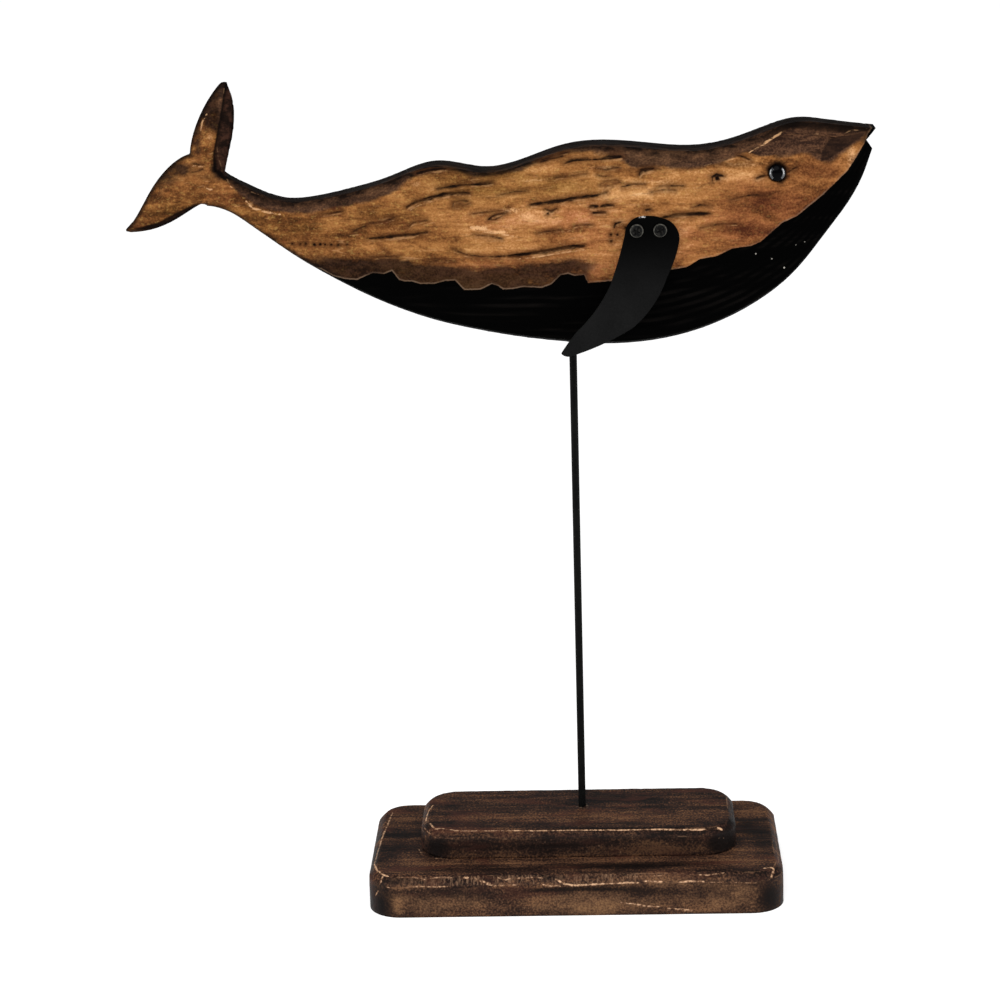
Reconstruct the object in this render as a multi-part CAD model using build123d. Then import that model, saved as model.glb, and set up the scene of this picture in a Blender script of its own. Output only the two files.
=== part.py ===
from build123d import *
import math
import os

# A carved wooden whale on a steel rod over a stepped wooden base.
# Millimetres. Origin: centre of the base's underside. +X points to the whale's
# snout, +Y to its left side, +Z up. The whale's pieces are made in a frame of
# their own, with the rod's axis along Z, the whale's middle plane at Y = 0 and
# the lowest line of its belly at Z = 0, and are then set over the base.

# Base plate
plate_length = 200.0
plate_depth = 100.0
plate_height = 20.0
plate_corner = 16.0
plate_bevel = 3.7

# Base step, on top of the plate
step_length = 154.0
step_depth = 60.0
step_height = 13.2
step_corner = 17.0
step_bevel = 3.2
step_off_x = 1.4
step_off_y = 4.2

# Steel rod
rod_radius = 1.8
rod_tip_bevel = 0.4
rod_x = 3.4
rod_y = 8.3
rod_seat_depth = 12.0
rod_socket_depth = 40.0
rod_swivel_gap = 0.05
glue_gap = 0.05

# Whale: the plank that it is carved from and its place over the base
belly_height = 269.0
whale_length = 350.0
whale_height = 126.0
plank_thickness = 32.0
rod_along_share = 0.597

# Ribs of the body from the tail stock to the snout. Each has its belly point and
# its back point, along from the tail's tip as a share of the whale's length and
# up from the belly as a share of its height, and its thickness as a share of the
# plank's.
body_rib_shares = (
    (0.112, 0.540, 0.127, 0.690, 0.36),
    (0.143, 0.516, 0.159, 0.620, 0.47),
    (0.181, 0.444, 0.200, 0.566, 0.58),
    (0.233, 0.341, 0.240, 0.552, 0.68),
    (0.292, 0.244, 0.297, 0.579, 0.78),
    (0.352, 0.162, 0.357, 0.624, 0.86),
    (0.382, 0.129, 0.387, 0.656, 0.90),
    (0.412, 0.101, 0.417, 0.676, 0.93),
    (0.453, 0.071, 0.455, 0.663, 0.96),
    (0.493, 0.047, 0.493, 0.650, 0.99),
    (0.573, 0.013, 0.579, 0.718, 1.02),
    (0.627, 0.000, 0.627, 0.739, 1.03),
    (0.702, 0.007, 0.696, 0.727, 1.03),
    (0.776, 0.055, 0.764, 0.713, 1.00),
    (0.839, 0.137, 0.827, 0.748, 0.92),
    (0.896, 0.260, 0.887, 0.805, 0.84),
    (0.936, 0.398, 0.927, 0.805, 0.78),
    (0.970, 0.528, 0.964, 0.790, 0.73),
    (0.987, 0.624, 0.984, 0.783, 0.69),
    (0.997, 0.713, 1.001, 0.778, 0.66),
)
back_bevel_share = 0.17
belly_round_share = 0.30
belly_mid_share = 0.29
round_limit_share = 0.45

# Ribs across the two fluke lobes, from root to tip. Each has its point on the
# tail side and its point on the head side, and its thickness, as the body's ribs.
upper_lobe_rib_shares = (
    (0.098, 0.585, 0.143, 0.560, 0.34),
    (0.092, 0.730, 0.138, 0.676, 0.39),
    (0.099, 0.815, 0.149, 0.790, 0.34),
    (0.117, 0.918, 0.153, 0.910, 0.24),
    (0.139, 0.993, 0.146, 0.993, 0.12),
)
lower_lobe_rib_shares = (
    (0.130, 0.660, 0.124, 0.539, 0.34),
    (0.092, 0.731, 0.102, 0.544, 0.39),
    (0.056, 0.668, 0.078, 0.505, 0.34),
    (0.031, 0.575, 0.052, 0.468, 0.25),
    (0.014, 0.498, 0.026, 0.448, 0.17),
    (0.000, 0.456, 0.003, 0.446, 0.10),
)
fluke_bevel_share = 0.34
fluke_edge_share = 0.30

# Mouth notch, cut across the snout
mouth_along_share = 0.987
mouth_up_share = 0.740
mouth_reach = 8.0
mouth_lower_gape = 11.0
mouth_upper_gape = 8.0

# Steel flippers, cut from sheet and bent outward below the bend line
sheet_thickness = 1.5
flipper_bend_degrees = 18.0
flipper_bend_radius = 6.0
flipper_bend_height = 36.0
# A flipper's outline from its tip, up its front edge and down its back edge, as
# arcs: each arc starts at one row, passes the next and ends at the one after
flipper_outline_shares = (
    (0.596, -0.011),
    (0.642, 0.034),
    (0.678, 0.085),
    (0.706, 0.166),
    (0.724, 0.260),
    (0.736, 0.338),
    (0.741, 0.397),
    (0.736, 0.444),
    (0.720, 0.475),
    (0.702, 0.486),
    (0.686, 0.482),
    (0.675, 0.463),
    (0.669, 0.422),
    (0.660, 0.325),
    (0.649, 0.237),
    (0.629, 0.148),
    (0.604, 0.075),
    (0.592, 0.036),
    (0.582, -0.002),
    (0.588, -0.012),
)

# Flipper screws
screw_radius = 1.5
screw_length = 16.0
screw_head_radius = 3.2
screw_head_height = 1.9
screw_head_rim = 0.8
screw_hole_gap = 0.2
screw_up_share = 0.433
screw_along_shares = (0.6845, 0.7155)

# Eyes, half beads glued into shallow seats
eye_radius = 4.0
eye_height = 3.0
eye_rim = 0.9
eye_seat_depth = 0.8
eye_seat_gap = 0.15
eye_along_share = 0.870
eye_up_share = 0.630

# Outlines of the two domes from rim to middle, as shares of radius and rise
eye_dome_shares = ((1.00, 0.00), (0.78, 0.56), (0.34, 1.00), (0.00, 1.00))
screw_dome_shares = ((1.00, 0.00), (0.52, 1.00), (0.00, 1.00))

# Screws that hold the step to the plate, driven from below
base_screw_radius = 2.0
base_screw_head_radius = 4.0
base_screw_head_height = 2.4
base_screw_bite = 9.0
base_screw_sink = 0.6
base_screw_inset = 27.0

# How far a cutter runs past what it cuts
overrun = 5.0

plank_half = plank_thickness / 2
base_screw_reach = step_length / 2 - base_screw_inset
base_screw_places = (step_off_x - base_screw_reach, step_off_x + base_screw_reach)
whale_place = Pos(rod_x, rod_y, belly_height)


def side_point(along_share, up_share):
    """A point of the whale's side view, on its middle plane."""
    return Vector((along_share - rod_along_share) * whale_length, 0, up_share * whale_height)


def rib_plane(low, high):
    """A plane across the whale through two points of its side view."""
    across = Vector(0, -1, 0)
    return Plane(origin=low, x_dir=across, z_dir=across.cross(high - low))


def mirrored_outline(one_side):
    """A face from the points of its left half and their mirror images."""
    other_side = [(-across, up) for across, up in reversed(one_side)]
    return Polygon(*one_side, *other_side, align=None)


def body_rib(low_along, low_up, high_along, high_up, thickness_share):
    """A cross-section of the body: flat sides, bevelled back, rounded belly."""
    low = side_point(low_along, low_up)
    high = side_point(high_along, high_up)
    rise = (high - low).length
    half = thickness_share * plank_half
    limit = min(half, rise) * round_limit_share
    back = min(2 * half * back_bevel_share, limit)
    belly = min(2 * half * belly_round_share, limit)
    one_side = (
        (half - belly, 0),
        (half - belly * belly_mid_share, belly * belly_mid_share),
        (half, belly),
        (half, rise - back),
        (half - back, rise),
    )
    return rib_plane(low, high) * mirrored_outline(one_side)


def lobe_rib(tail_along, tail_up, head_along, head_up, thickness_share):
    """A cross-section of a fluke: a flat middle bevelled to thin edges."""
    low = side_point(tail_along, tail_up)
    high = side_point(head_along, head_up)
    width = (high - low).length
    half = thickness_share * plank_half
    edge = half * fluke_edge_share
    bevel = width * fluke_bevel_share
    one_side = ((edge, 0), (half, bevel), (half, width - bevel), (edge, width))
    return rib_plane(low, high) * mirrored_outline(one_side)


def side_plane(along_share, up_share, out):
    """A plane facing out of the whale's left side, this far from its middle."""
    place = side_point(along_share, up_share)
    return Plane(origin=(place.X, out, place.Z), x_dir=(1, 0, 0), z_dir=(0, 1, 0))


def half_thickness_at(along_share):
    """Half the body's thickness between the two ribs round this place."""
    for behind, ahead in zip(body_rib_shares, body_rib_shares[1:]):
        behind_along = (behind[0] + behind[2]) / 2
        ahead_along = (ahead[0] + ahead[2]) / 2
        if behind_along <= along_share <= ahead_along:
            part = (along_share - behind_along) / (ahead_along - behind_along)
            share = behind[4] + part * (ahead[4] - behind[4])
            return min(share, 1) * plank_half
    return plank_half


def eye_seat():
    """The floor of the left eye's seat, facing out of the head."""
    out = half_thickness_at(eye_along_share) - eye_seat_depth
    return side_plane(eye_along_share, eye_up_share, out)


def both_sides(piece):
    """A piece of the left side with its mirror image on the right."""
    return piece + mirror(piece, about=Plane.XZ)


def mouth_cutter():
    """A wedge that cuts the mouth's notch across the snout."""
    inner = side_point(mouth_along_share, mouth_up_share)
    lower = inner + Vector(mouth_reach, 0, -mouth_lower_gape)
    upper = inner + Vector(mouth_reach, 0, mouth_upper_gape)
    return extrude(make_face(Polyline(inner, lower, upper, close=True)), plank_thickness, both=True)


def side_cutters():
    """The eye's seat and the flipper's screw holes in the whale's left side."""
    cutters = extrude(eye_seat() * Circle(eye_radius + eye_seat_gap), overrun)
    for along_share in screw_along_shares:
        start = side_plane(along_share, screw_up_share, plank_half + overrun)
        depth = overrun + screw_length - sheet_thickness
        cutters += extrude(start * Circle(screw_radius + glue_gap), -depth)
    return cutters


def make_whale_body():
    """The carved whale: body and two fluke lobes in one piece of wood."""
    whale = loft([body_rib(*row) for row in body_rib_shares])
    whale += loft([lobe_rib(*row) for row in upper_lobe_rib_shares])
    whale += loft([lobe_rib(*row) for row in lower_lobe_rib_shares])
    middle = side_point(rod_along_share, 0)
    plank = Pos(middle) * Box(2 * whale_length, plank_thickness, 2 * whale_height)
    whale &= plank
    whale -= mouth_cutter()
    socket = Plane(origin=(0, 0, rod_socket_depth)) * Circle(rod_radius + rod_swivel_gap)
    whale -= extrude(socket, -rod_socket_depth - overrun)
    return whale - both_sides(side_cutters())


def dome_outline(radius, rim, height, dome_shares):
    """Half the outline of a dome over a straight rim."""
    return [(radius * out, rim + (height - rim) * up) for out, up in dome_shares]


def turned(points):
    """The solid of half an outline turned about Z."""
    return revolve(make_face(Plane.XZ * Polyline(*points, close=True)), Axis.Z)


def bevelled_board(length, depth, height, corner, bevel):
    """A board with rounded corners and a bevel round its top."""
    board = extrude(RectangleRounded(length, depth, corner), height)
    return chamfer(board.faces().sort_by(Axis.Z)[-1].edges(), bevel)


def make_base_plate():
    """The bottom board, with the rod's seat and two screw holes."""
    plate = bevelled_board(plate_length, plate_depth, plate_height, plate_corner, plate_bevel)
    seat = Pos(rod_x, rod_y, plate_height) * Circle(rod_radius + glue_gap)
    plate -= extrude(seat, -rod_seat_depth)
    return plate - base_screw_holes()


def make_base_step():
    """The smaller board on the plate, drilled for the rod and the screws."""
    board = bevelled_board(step_length, step_depth, step_height, step_corner, step_bevel)
    step = Pos(step_off_x, step_off_y, plate_height) * board
    hole = Pos(rod_x, rod_y, plate_height - overrun) * Circle(rod_radius + glue_gap)
    step -= extrude(hole, step_height + 2 * overrun)
    return step - base_screw_holes()


def base_screw_shape(gap):
    """A screw with its flat head down, grown by a gap for its hole."""
    head = base_screw_head_radius + gap
    shank = base_screw_radius + gap
    neck = base_screw_sink + base_screw_head_height
    tip = plate_height + base_screw_bite + gap
    head_half = [(0, base_screw_sink), (head, base_screw_sink), (head, neck)]
    return turned(head_half + [(shank, neck), (shank, tip), (0, tip)])


def base_screw_holes():
    """Cutters for the two base screws, open at the plate's underside."""
    hole = base_screw_shape(glue_gap)
    mouth = Pos(0, 0, -overrun) * Circle(base_screw_head_radius + glue_gap)
    hole += extrude(mouth, overrun + base_screw_sink)
    return [Pos(x, step_off_y, 0) * hole for x in base_screw_places]


def make_support_rod():
    """The round steel rod, from its seat in the plate to the whale's socket."""
    low = plate_height - rod_seat_depth
    rod = extrude(Circle(rod_radius), belly_height + rod_socket_depth - low)
    rod = chamfer(rod.edges().filter_by(GeomType.CIRCLE).sort_by(Axis.Z)[-1], rod_tip_bevel)
    return Pos(rod_x, rod_y, low) * rod


def flipper_outline():
    """The flipper's side view, standing on the whale's middle plane."""
    places = [side_point(*share) for share in flipper_outline_shares]
    ends = places[2::2] + places[:1]
    arcs = [ThreePointArc(*arc) for arc in zip(places[::2], places[1::2], ends)]
    return make_face(Curve() + arcs)


def make_flipper():
    """The left flipper: a sheet bent outward, cut to the flipper's outline."""
    drop = flipper_bend_height + 2 * overrun
    out = drop * math.tan(math.radians(flipper_bend_degrees))
    bend = (plank_half, flipper_bend_height)
    foot = (plank_half + out, flipper_bend_height - drop)
    inner = FilletPolyline((plank_half, whale_height), bend, foot, radius=flipper_bend_radius)
    strip = make_face(offset(inner, sheet_thickness, side=Side.LEFT, closed=True))
    sheet = extrude(Plane.YZ * strip, whale_length, both=True)
    flipper = sheet & extrude(flipper_outline(), whale_length, both=True)
    for along_share in screw_along_shares:
        hole = side_plane(along_share, screw_up_share, 0) * Circle(screw_radius + screw_hole_gap)
        flipper -= extrude(hole, plank_thickness)
    return flipper


def make_flipper_screw(along_share):
    """A round-head screw, driven through the flipper into the whale's left side."""
    seat = side_plane(along_share, screw_up_share, plank_half + sheet_thickness)
    tip = sheet_thickness - screw_length
    shank = [(0, tip), (screw_radius, tip), (screw_radius, 0), (screw_head_radius, 0)]
    head = dome_outline(screw_head_radius, screw_head_rim, screw_head_height, screw_dome_shares)
    return seat * turned(shank + head)


def make_eye():
    """The left eye: a half bead in its seat."""
    dome = dome_outline(eye_radius, eye_rim, eye_height, eye_dome_shares)
    return eye_seat() * turned([(0, 0), (eye_radius, 0)] + dome)


def write_part(name, piece):
    """Writes one piece to its own file."""
    export_step(piece, f"parts/{name}.step")


os.makedirs("parts", exist_ok=True)
write_part("base_plate", make_base_plate())
write_part("base_step", make_base_step())
write_part("support_rod", make_support_rod())
for name, x in zip(("rear_base_screw", "front_base_screw"), base_screw_places):
    write_part(name, Pos(x, step_off_y, 0) * base_screw_shape(0))
write_part("whale_body", whale_place * make_whale_body())
side_pieces = {"flipper": make_flipper(), "eye": make_eye()}
for end_name, along_share in zip(("rear", "front"), screw_along_shares):
    side_pieces[f"flipper_{end_name}_screw"] = make_flipper_screw(along_share)
for name, piece in side_pieces.items():
    write_part(f"left_{name}", whale_place * piece)
    write_part(f"right_{name}", whale_place * mirror(piece, about=Plane.XZ))
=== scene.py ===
import itertools
import math

import bmesh
import bpy
import numpy as np
from mathutils import Matrix, Vector
from mathutils.bvhtree import BVHTree
from mathutils.kdtree import KDTree


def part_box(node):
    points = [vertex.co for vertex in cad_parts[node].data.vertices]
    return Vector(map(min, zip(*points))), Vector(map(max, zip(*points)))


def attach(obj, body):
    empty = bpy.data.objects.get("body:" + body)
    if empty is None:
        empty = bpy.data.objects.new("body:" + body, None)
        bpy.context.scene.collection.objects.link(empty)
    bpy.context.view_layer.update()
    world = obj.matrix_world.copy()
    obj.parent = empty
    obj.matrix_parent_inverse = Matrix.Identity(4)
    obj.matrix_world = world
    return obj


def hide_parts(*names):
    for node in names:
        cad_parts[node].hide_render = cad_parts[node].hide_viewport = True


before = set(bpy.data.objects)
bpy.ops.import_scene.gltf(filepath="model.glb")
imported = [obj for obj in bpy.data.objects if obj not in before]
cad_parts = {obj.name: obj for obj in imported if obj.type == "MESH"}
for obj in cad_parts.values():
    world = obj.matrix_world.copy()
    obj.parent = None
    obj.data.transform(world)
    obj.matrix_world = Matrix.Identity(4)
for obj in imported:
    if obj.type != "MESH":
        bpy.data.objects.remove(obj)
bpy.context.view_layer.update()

MM = 0.001
# Where the whale's own frame lies: rod axis, middle plane, belly line
WHALE_PLACE = np.array((3.4, 8.3, 269.0))

# Camera at the photograph's viewing angle
CAMERA_PLACE = Vector((0.0145, -1.30991, 0.55549))
CAMERA_YAW = math.radians(-2.07)
CAMERA_PITCH = math.radians(15.45)
CAMERA_ROLL = math.radians(-1.58)
FOCAL_PIXELS = 2845.6
IMAGE_SIZE = 1000
SENSOR = 36.0
CLIP_NEAR = 0.05
CLIP_FAR = 60
# How large the photograph shows a millimetre of the figurine
PIXELS_PER_MM = 2.16


def added(name, data):
    """A new object in the scene."""
    thing = bpy.data.objects.new(name, data)
    bpy.context.scene.collection.objects.link(thing)
    return thing


# Camera

def camera_axes():
    """The camera's right, up and forward directions."""
    forward = Vector((
        math.sin(CAMERA_YAW) * math.cos(CAMERA_PITCH),
        math.cos(CAMERA_YAW) * math.cos(CAMERA_PITCH),
        -math.sin(CAMERA_PITCH),
    ))
    level = Vector((math.cos(CAMERA_YAW), -math.sin(CAMERA_YAW), 0))
    steep = level.cross(forward)
    c, s = math.cos(CAMERA_ROLL), math.sin(CAMERA_ROLL)
    return c * level + s * steep, -s * level + c * steep, forward


RIGHT, UP, FORWARD = camera_axes()


def sight(px, py):
    """The direction in which the camera sees a point of the image."""
    half = IMAGE_SIZE / 2
    across = (px - half) / FOCAL_PIXELS
    above = (half - py) / FOCAL_PIXELS
    return (FORWARD + RIGHT * across + UP * above).normalized()


def add_camera():
    data = bpy.data.cameras.new("camera")
    data.sensor_width = SENSOR
    data.lens = FOCAL_PIXELS / IMAGE_SIZE * SENSOR
    data.clip_start = CLIP_NEAR
    data.clip_end = CLIP_FAR
    camera = added("camera", data)
    turn = Matrix((RIGHT, UP, -FORWARD)).transposed().to_4x4()
    camera.matrix_world = Matrix.Translation(CAMERA_PLACE) @ turn
    bpy.context.scene.camera = camera


# Mesh tools

NOISE_CELLS = 4096
NOISE_KEYS = (73856093, 19349663, 83492791)


def in_mm(corners, origin=0.0):
    """The corners of a box in millimetres, from an origin."""
    return (np.array(corner) / MM - origin for corner in corners)


def arrays(mesh):
    """A mesh's points in millimetres and its triangles."""
    mesh.calc_loop_triangles()
    points = np.empty(len(mesh.vertices) * 3)
    mesh.vertices.foreach_get("co", points)
    tris = np.empty(len(mesh.loop_triangles) * 3, np.int64)
    mesh.loop_triangles.foreach_get("vertices", tris)
    return points.reshape(-1, 3) / MM, tris.reshape(-1, 3)


def make_object(name, points, faces):
    """A mesh object from points in millimetres."""
    mesh = bpy.data.meshes.new(name)
    mesh.from_pydata((np.asarray(points) * MM).tolist(), [], [list(f) for f in faces])
    mesh.validate()
    mesh.shade_smooth()
    return added(name, mesh)


def applied(thing):
    """Replaces an object's mesh by what its modifiers make of it."""
    graph = bpy.context.evaluated_depsgraph_get()
    graph.update()
    mesh = bpy.data.meshes.new_from_object(thing.evaluated_get(graph))
    thing.modifiers.clear()
    thing.data = mesh
    return thing


def cut_away(thing, tool, crossing=False):
    """Takes the shape of a tool away from an object. Crossing says that the tool runs through itself."""
    change = thing.modifiers.new("cut", "BOOLEAN")
    change.operation = "DIFFERENCE"
    change.solver = "EXACT"
    change.use_self = crossing
    change.object = tool
    applied(thing)
    bpy.data.objects.remove(tool)


def joined(parts):
    """One shell of several, as points and triangles."""
    counts = np.cumsum([0] + [len(points) for points, _ in parts])
    points = np.concatenate([points for points, _ in parts])
    tris = np.concatenate([tris + start for (_, tris), start in zip(parts, counts)])
    return points, tris


def welded(points, tris, digits=4):
    """Joins the points that lie at one place."""
    _, first, back = np.unique(points.round(digits), axis=0, return_index=True, return_inverse=True)
    tris = back.reshape(-1)[tris]
    return points[first], tris[(tris != np.roll(tris, 1, axis=1)).all(1)]


def node_shell(node):
    """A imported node's points and triangles."""
    return welded(*arrays(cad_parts[node].data))


def remeshed(parts, voxel):
    """Even triangles over the union of some closed shells, in millimetres."""
    shell = make_object("shell", *joined(parts))
    change = shell.modifiers.new("remesh", "REMESH")
    change.mode = "VOXEL"
    change.voxel_size = voxel * MM
    change.adaptivity = 0
    points, tris = arrays(applied(shell).data)
    bpy.data.objects.remove(shell)
    return points, tris


def refined(points, tris, wanted):
    """Splits the edges that wanted(middles, lengths) chooses, once."""
    pairs = np.sort(tris[:, [[0, 1], [1, 2], [2, 0]]].reshape(-1, 2), axis=1)
    edges, back = np.unique(pairs, axis=0, return_inverse=True)
    a, b = points[edges[:, 0]], points[edges[:, 1]]
    chosen = wanted((a + b) / 2, np.linalg.norm(b - a, axis=1))
    middle = np.full(len(edges), -1)
    middle[chosen] = len(points) + np.arange(chosen.sum())
    points = np.vstack([points, ((a + b) / 2)[chosen]])
    mids = middle[back.reshape(-1, 3)]
    count = (mids >= 0).sum(1)
    # Six numbers a triangle: its corners, then the middles of its sides
    split = [tris[count == 0]]
    for turn in range(3):
        six = np.hstack([np.roll(tris, -turn, axis=1), np.roll(mids, -turn, axis=1)])
        one = six[(count == 1) & (six[:, 3] >= 0)]
        two = six[(count == 2) & (six[:, 5] < 0)]
        split += [one[:, [0, 3, 2]], one[:, [3, 1, 2]]]
        split += [two[:, [3, 1, 4]], two[:, [0, 3, 2]], two[:, [3, 4, 2]]]
    three = np.hstack([tris, mids])[count == 3]
    split += [three[:, [0, 3, 5]], three[:, [3, 1, 4]], three[:, [5, 4, 2]], three[:, [3, 4, 5]]]
    return points, np.vstack(split)


def face_normals(points, tris):
    """Each triangle's normal, as long as twice its area."""
    corners = points[tris]
    return np.cross(corners[:, 1] - corners[:, 0], corners[:, 2] - corners[:, 0])


def point_normals(points, tris):
    face = face_normals(points, tris)
    total = np.zeros_like(points)
    for k in range(3):
        np.add.at(total, tris[:, k], face)
    return total / np.maximum(np.linalg.norm(total, axis=1, keepdims=True), 1e-12)


def relaxed(points, tris, rounds, share=0.5):
    """Moves every point towards the mean of its neighbours and part of the way back."""
    for step in range(rounds):
        for pull in (share, -share * 0.94):
            total, count = np.zeros_like(points), np.zeros(len(points))
            for k in range(3):
                a, b = tris[:, k], tris[:, (k + 1) % 3]
                np.add.at(total, a, points[b])
                np.add.at(total, b, points[a])
                np.add.at(count, a, 1)
                np.add.at(count, b, 1)
            points = points + pull * (total / count[:, None] - points)
    return points


def cell_noise(places, seed):
    """Smooth noise from -1 to 1, whose cells are 1 wide."""
    table = np.random.default_rng(seed).random(NOISE_CELLS) * 2 - 1
    cell = np.floor(places).astype(np.int64)
    part = places - cell
    part = part * part * (3 - 2 * part)
    total = np.zeros(len(places))
    for corner in itertools.product((0, 1), repeat=3):
        keys = (cell + corner) * NOISE_KEYS
        key = (keys[:, 0] ^ keys[:, 1] ^ keys[:, 2]) & (NOISE_CELLS - 1)
        total += table[key] * np.prod(np.where(corner, part, 1 - part), axis=1)
    return total


def smooth_step(value, low, high):
    t = np.clip((value - low) / (high - low), 0, 1)
    return t * t * (3 - 2 * t)


def along_line(places, line):
    """Distance of places from a line of points, and how far along it, from 0 to 1."""
    line = np.asarray(line, float)
    runs = np.linalg.norm(np.diff(line, axis=0), axis=1)
    starts = np.r_[0, np.cumsum(runs)]
    best = np.full(len(places), 1e9)
    where = np.zeros(len(places))
    for k, (a, b) in enumerate(zip(line, line[1:])):
        step = b - a
        t = np.clip((places - a) @ step / max(step @ step, 1e-9), 0, 1)
        away = np.linalg.norm(places - a - t[:, None] * step, axis=1)
        nearer = away < best
        best[nearer] = away[nearer]
        where[nearer] = ((starts[k] + t * runs[k]) / starts[-1])[nearer]
    return best, where


def beside(places, line, reach):
    """The numbers of the places that lie in a line's box or within reach of it."""
    return np.flatnonzero(((places > line.min(0) - reach) & (places < line.max(0) + reach)).all(1))


def near_lines(places, lines, reach):
    """Whether each place lies within reach of one of some lines."""
    near = np.zeros(len(places), bool)
    for line in lines:
        some = beside(places, line, reach)
        near[some] |= along_line(places[some], line)[0] < reach
    return near


def half_width(width, where, least):
    """Half the width of a mark that thins out to a least share of it at both ends."""
    return width / 2 * (least + (1 - least) * np.sqrt(np.clip(4 * where * (1 - where), 0, 1)))


def rub_marks(places, lines):
    """How strongly light lines lie on each place, from 0 to 1, by lines with a width and a strength: rubbed
    wood, and on the whale also painted highlights.
    """
    rub = np.zeros(len(places))
    for line, width, strength in lines:
        near = beside(places, line, 4)
        away, where = along_line(places[near], line)
        half = half_width(width, where, 0.5)
        rub[near] = np.maximum(rub[near], strength * (1 - smooth_step(away, 0.4 * half, half + 0.45)))
    return rub


def signed_from(places, line):
    """Distance from a line that runs towards +X, positive above it."""
    away, _ = along_line(places, line)
    height = np.interp(places[:, 0], line[:, 0], line[:, 1])
    return np.where(places[:, 1] > height, away, -away)


def inside(places, corners):
    """Whether flat places lie in a polygon, as a signed distance, positive inside."""
    away, _ = along_line(places, np.vstack([corners, corners[:1]]))
    odd = np.zeros(len(places), bool)
    for a, b in zip(corners, np.roll(corners, -1, axis=0)):
        crosses = (a[1] > places[:, 1]) != (b[1] > places[:, 1])
        with np.errstate(divide="ignore", invalid="ignore"):
            x = a[0] + (places[:, 1] - a[1]) * (b[0] - a[0]) / (b[1] - a[1])
        odd ^= crosses & (places[:, 0] < x)
    return np.where(odd, away, -away)


def face_tree(points, tris):
    """A search tree of a shell's triangles."""
    return BVHTree.FromPolygons(points.tolist(), tris.tolist())


def point_tree(points):
    """A search tree of some points."""
    tree = KDTree(len(points))
    for k, point in enumerate(points):
        tree.insert(point, k)
    tree.balance()
    return tree


def laid_on(points, tree, reach):
    """Moves points to the nearest place on a shell that lies within reach."""
    for k, point in enumerate(points):
        place = tree.find_nearest(point, reach)[0]
        if place:
            points[k] = place
    return points


def sharp_places(points, tris, least, step=0.25):
    """Places a short step apart along the edges of a shell that are sharper than an angle."""
    normals = face_normals(points, tris)
    normals /= np.maximum(np.linalg.norm(normals, axis=1), 1e-9)[:, None]
    limit = math.cos(math.radians(least))
    first, rows = {}, []
    for t, tri in enumerate(tris.tolist()):
        for a, b in zip(tri, tri[1:] + tri[:1]):
            key = (min(a, b), max(a, b))
            other = first.pop(key, None)
            if other is None:
                first[key] = t
            elif normals[t] @ normals[other] < limit:
                run = points[b] - points[a]
                count = int(np.linalg.norm(run) / step) + 2
                rows.append(points[a] + np.linspace(0, 1, count)[:, None] * run)
    return np.concatenate(rows)


def edges_restored(points, tris, sharp, reach):
    """Moves the points beside a sharp edge onto it, because the remesh has rounded it off."""
    tree = point_tree(sharp)
    for k, point in enumerate(points):
        place, _, away = tree.find(point)
        if away < reach:
            points[k] = place
    return welded(points, tris)


def cylinder_shell(centre, axis, radius, length, sides=40):
    """A closed cylinder from its middle, along Y (1) or Z (2)."""
    turn = np.arange(sides) / sides * 2 * math.pi
    ring = np.zeros((sides, 3))
    ring[:, 0] = np.cos(turn) * radius
    ring[:, 3 - axis] = np.sin(turn) * radius
    step = np.zeros(3)
    step[axis] = length / 2
    points = np.vstack([ring - step, ring + step, [-step], [step]]) + centre
    foot, top = 2 * sides, 2 * sides + 1
    tris = []
    for k in range(sides):
        n = (k + 1) % sides
        tris += [(k, n, sides + n), (k, sides + n, sides + k), (n, k, foot), (sides + k, sides + n, top)]
    tris = np.array(tris)
    return points, tris[:, ::-1] if axis == 1 else tris


def set_values(thing, **values):
    """Stores one number per point under each name."""
    for name, numbers in values.items():
        layer = thing.data.attributes.new(name, "FLOAT", "POINT")
        layer.data.foreach_set("value", np.asarray(numbers, np.float32))


# Material tools

def colour(red, green, blue):
    """A display colour, 0 to 255, as the shader takes it."""
    shares = [c / 255 for c in (red, green, blue)]
    return tuple(c / 12.92 if c <= 0.04045 else ((c + 0.055) / 1.055) ** 2.4 for c in shares) + (1,)


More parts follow.
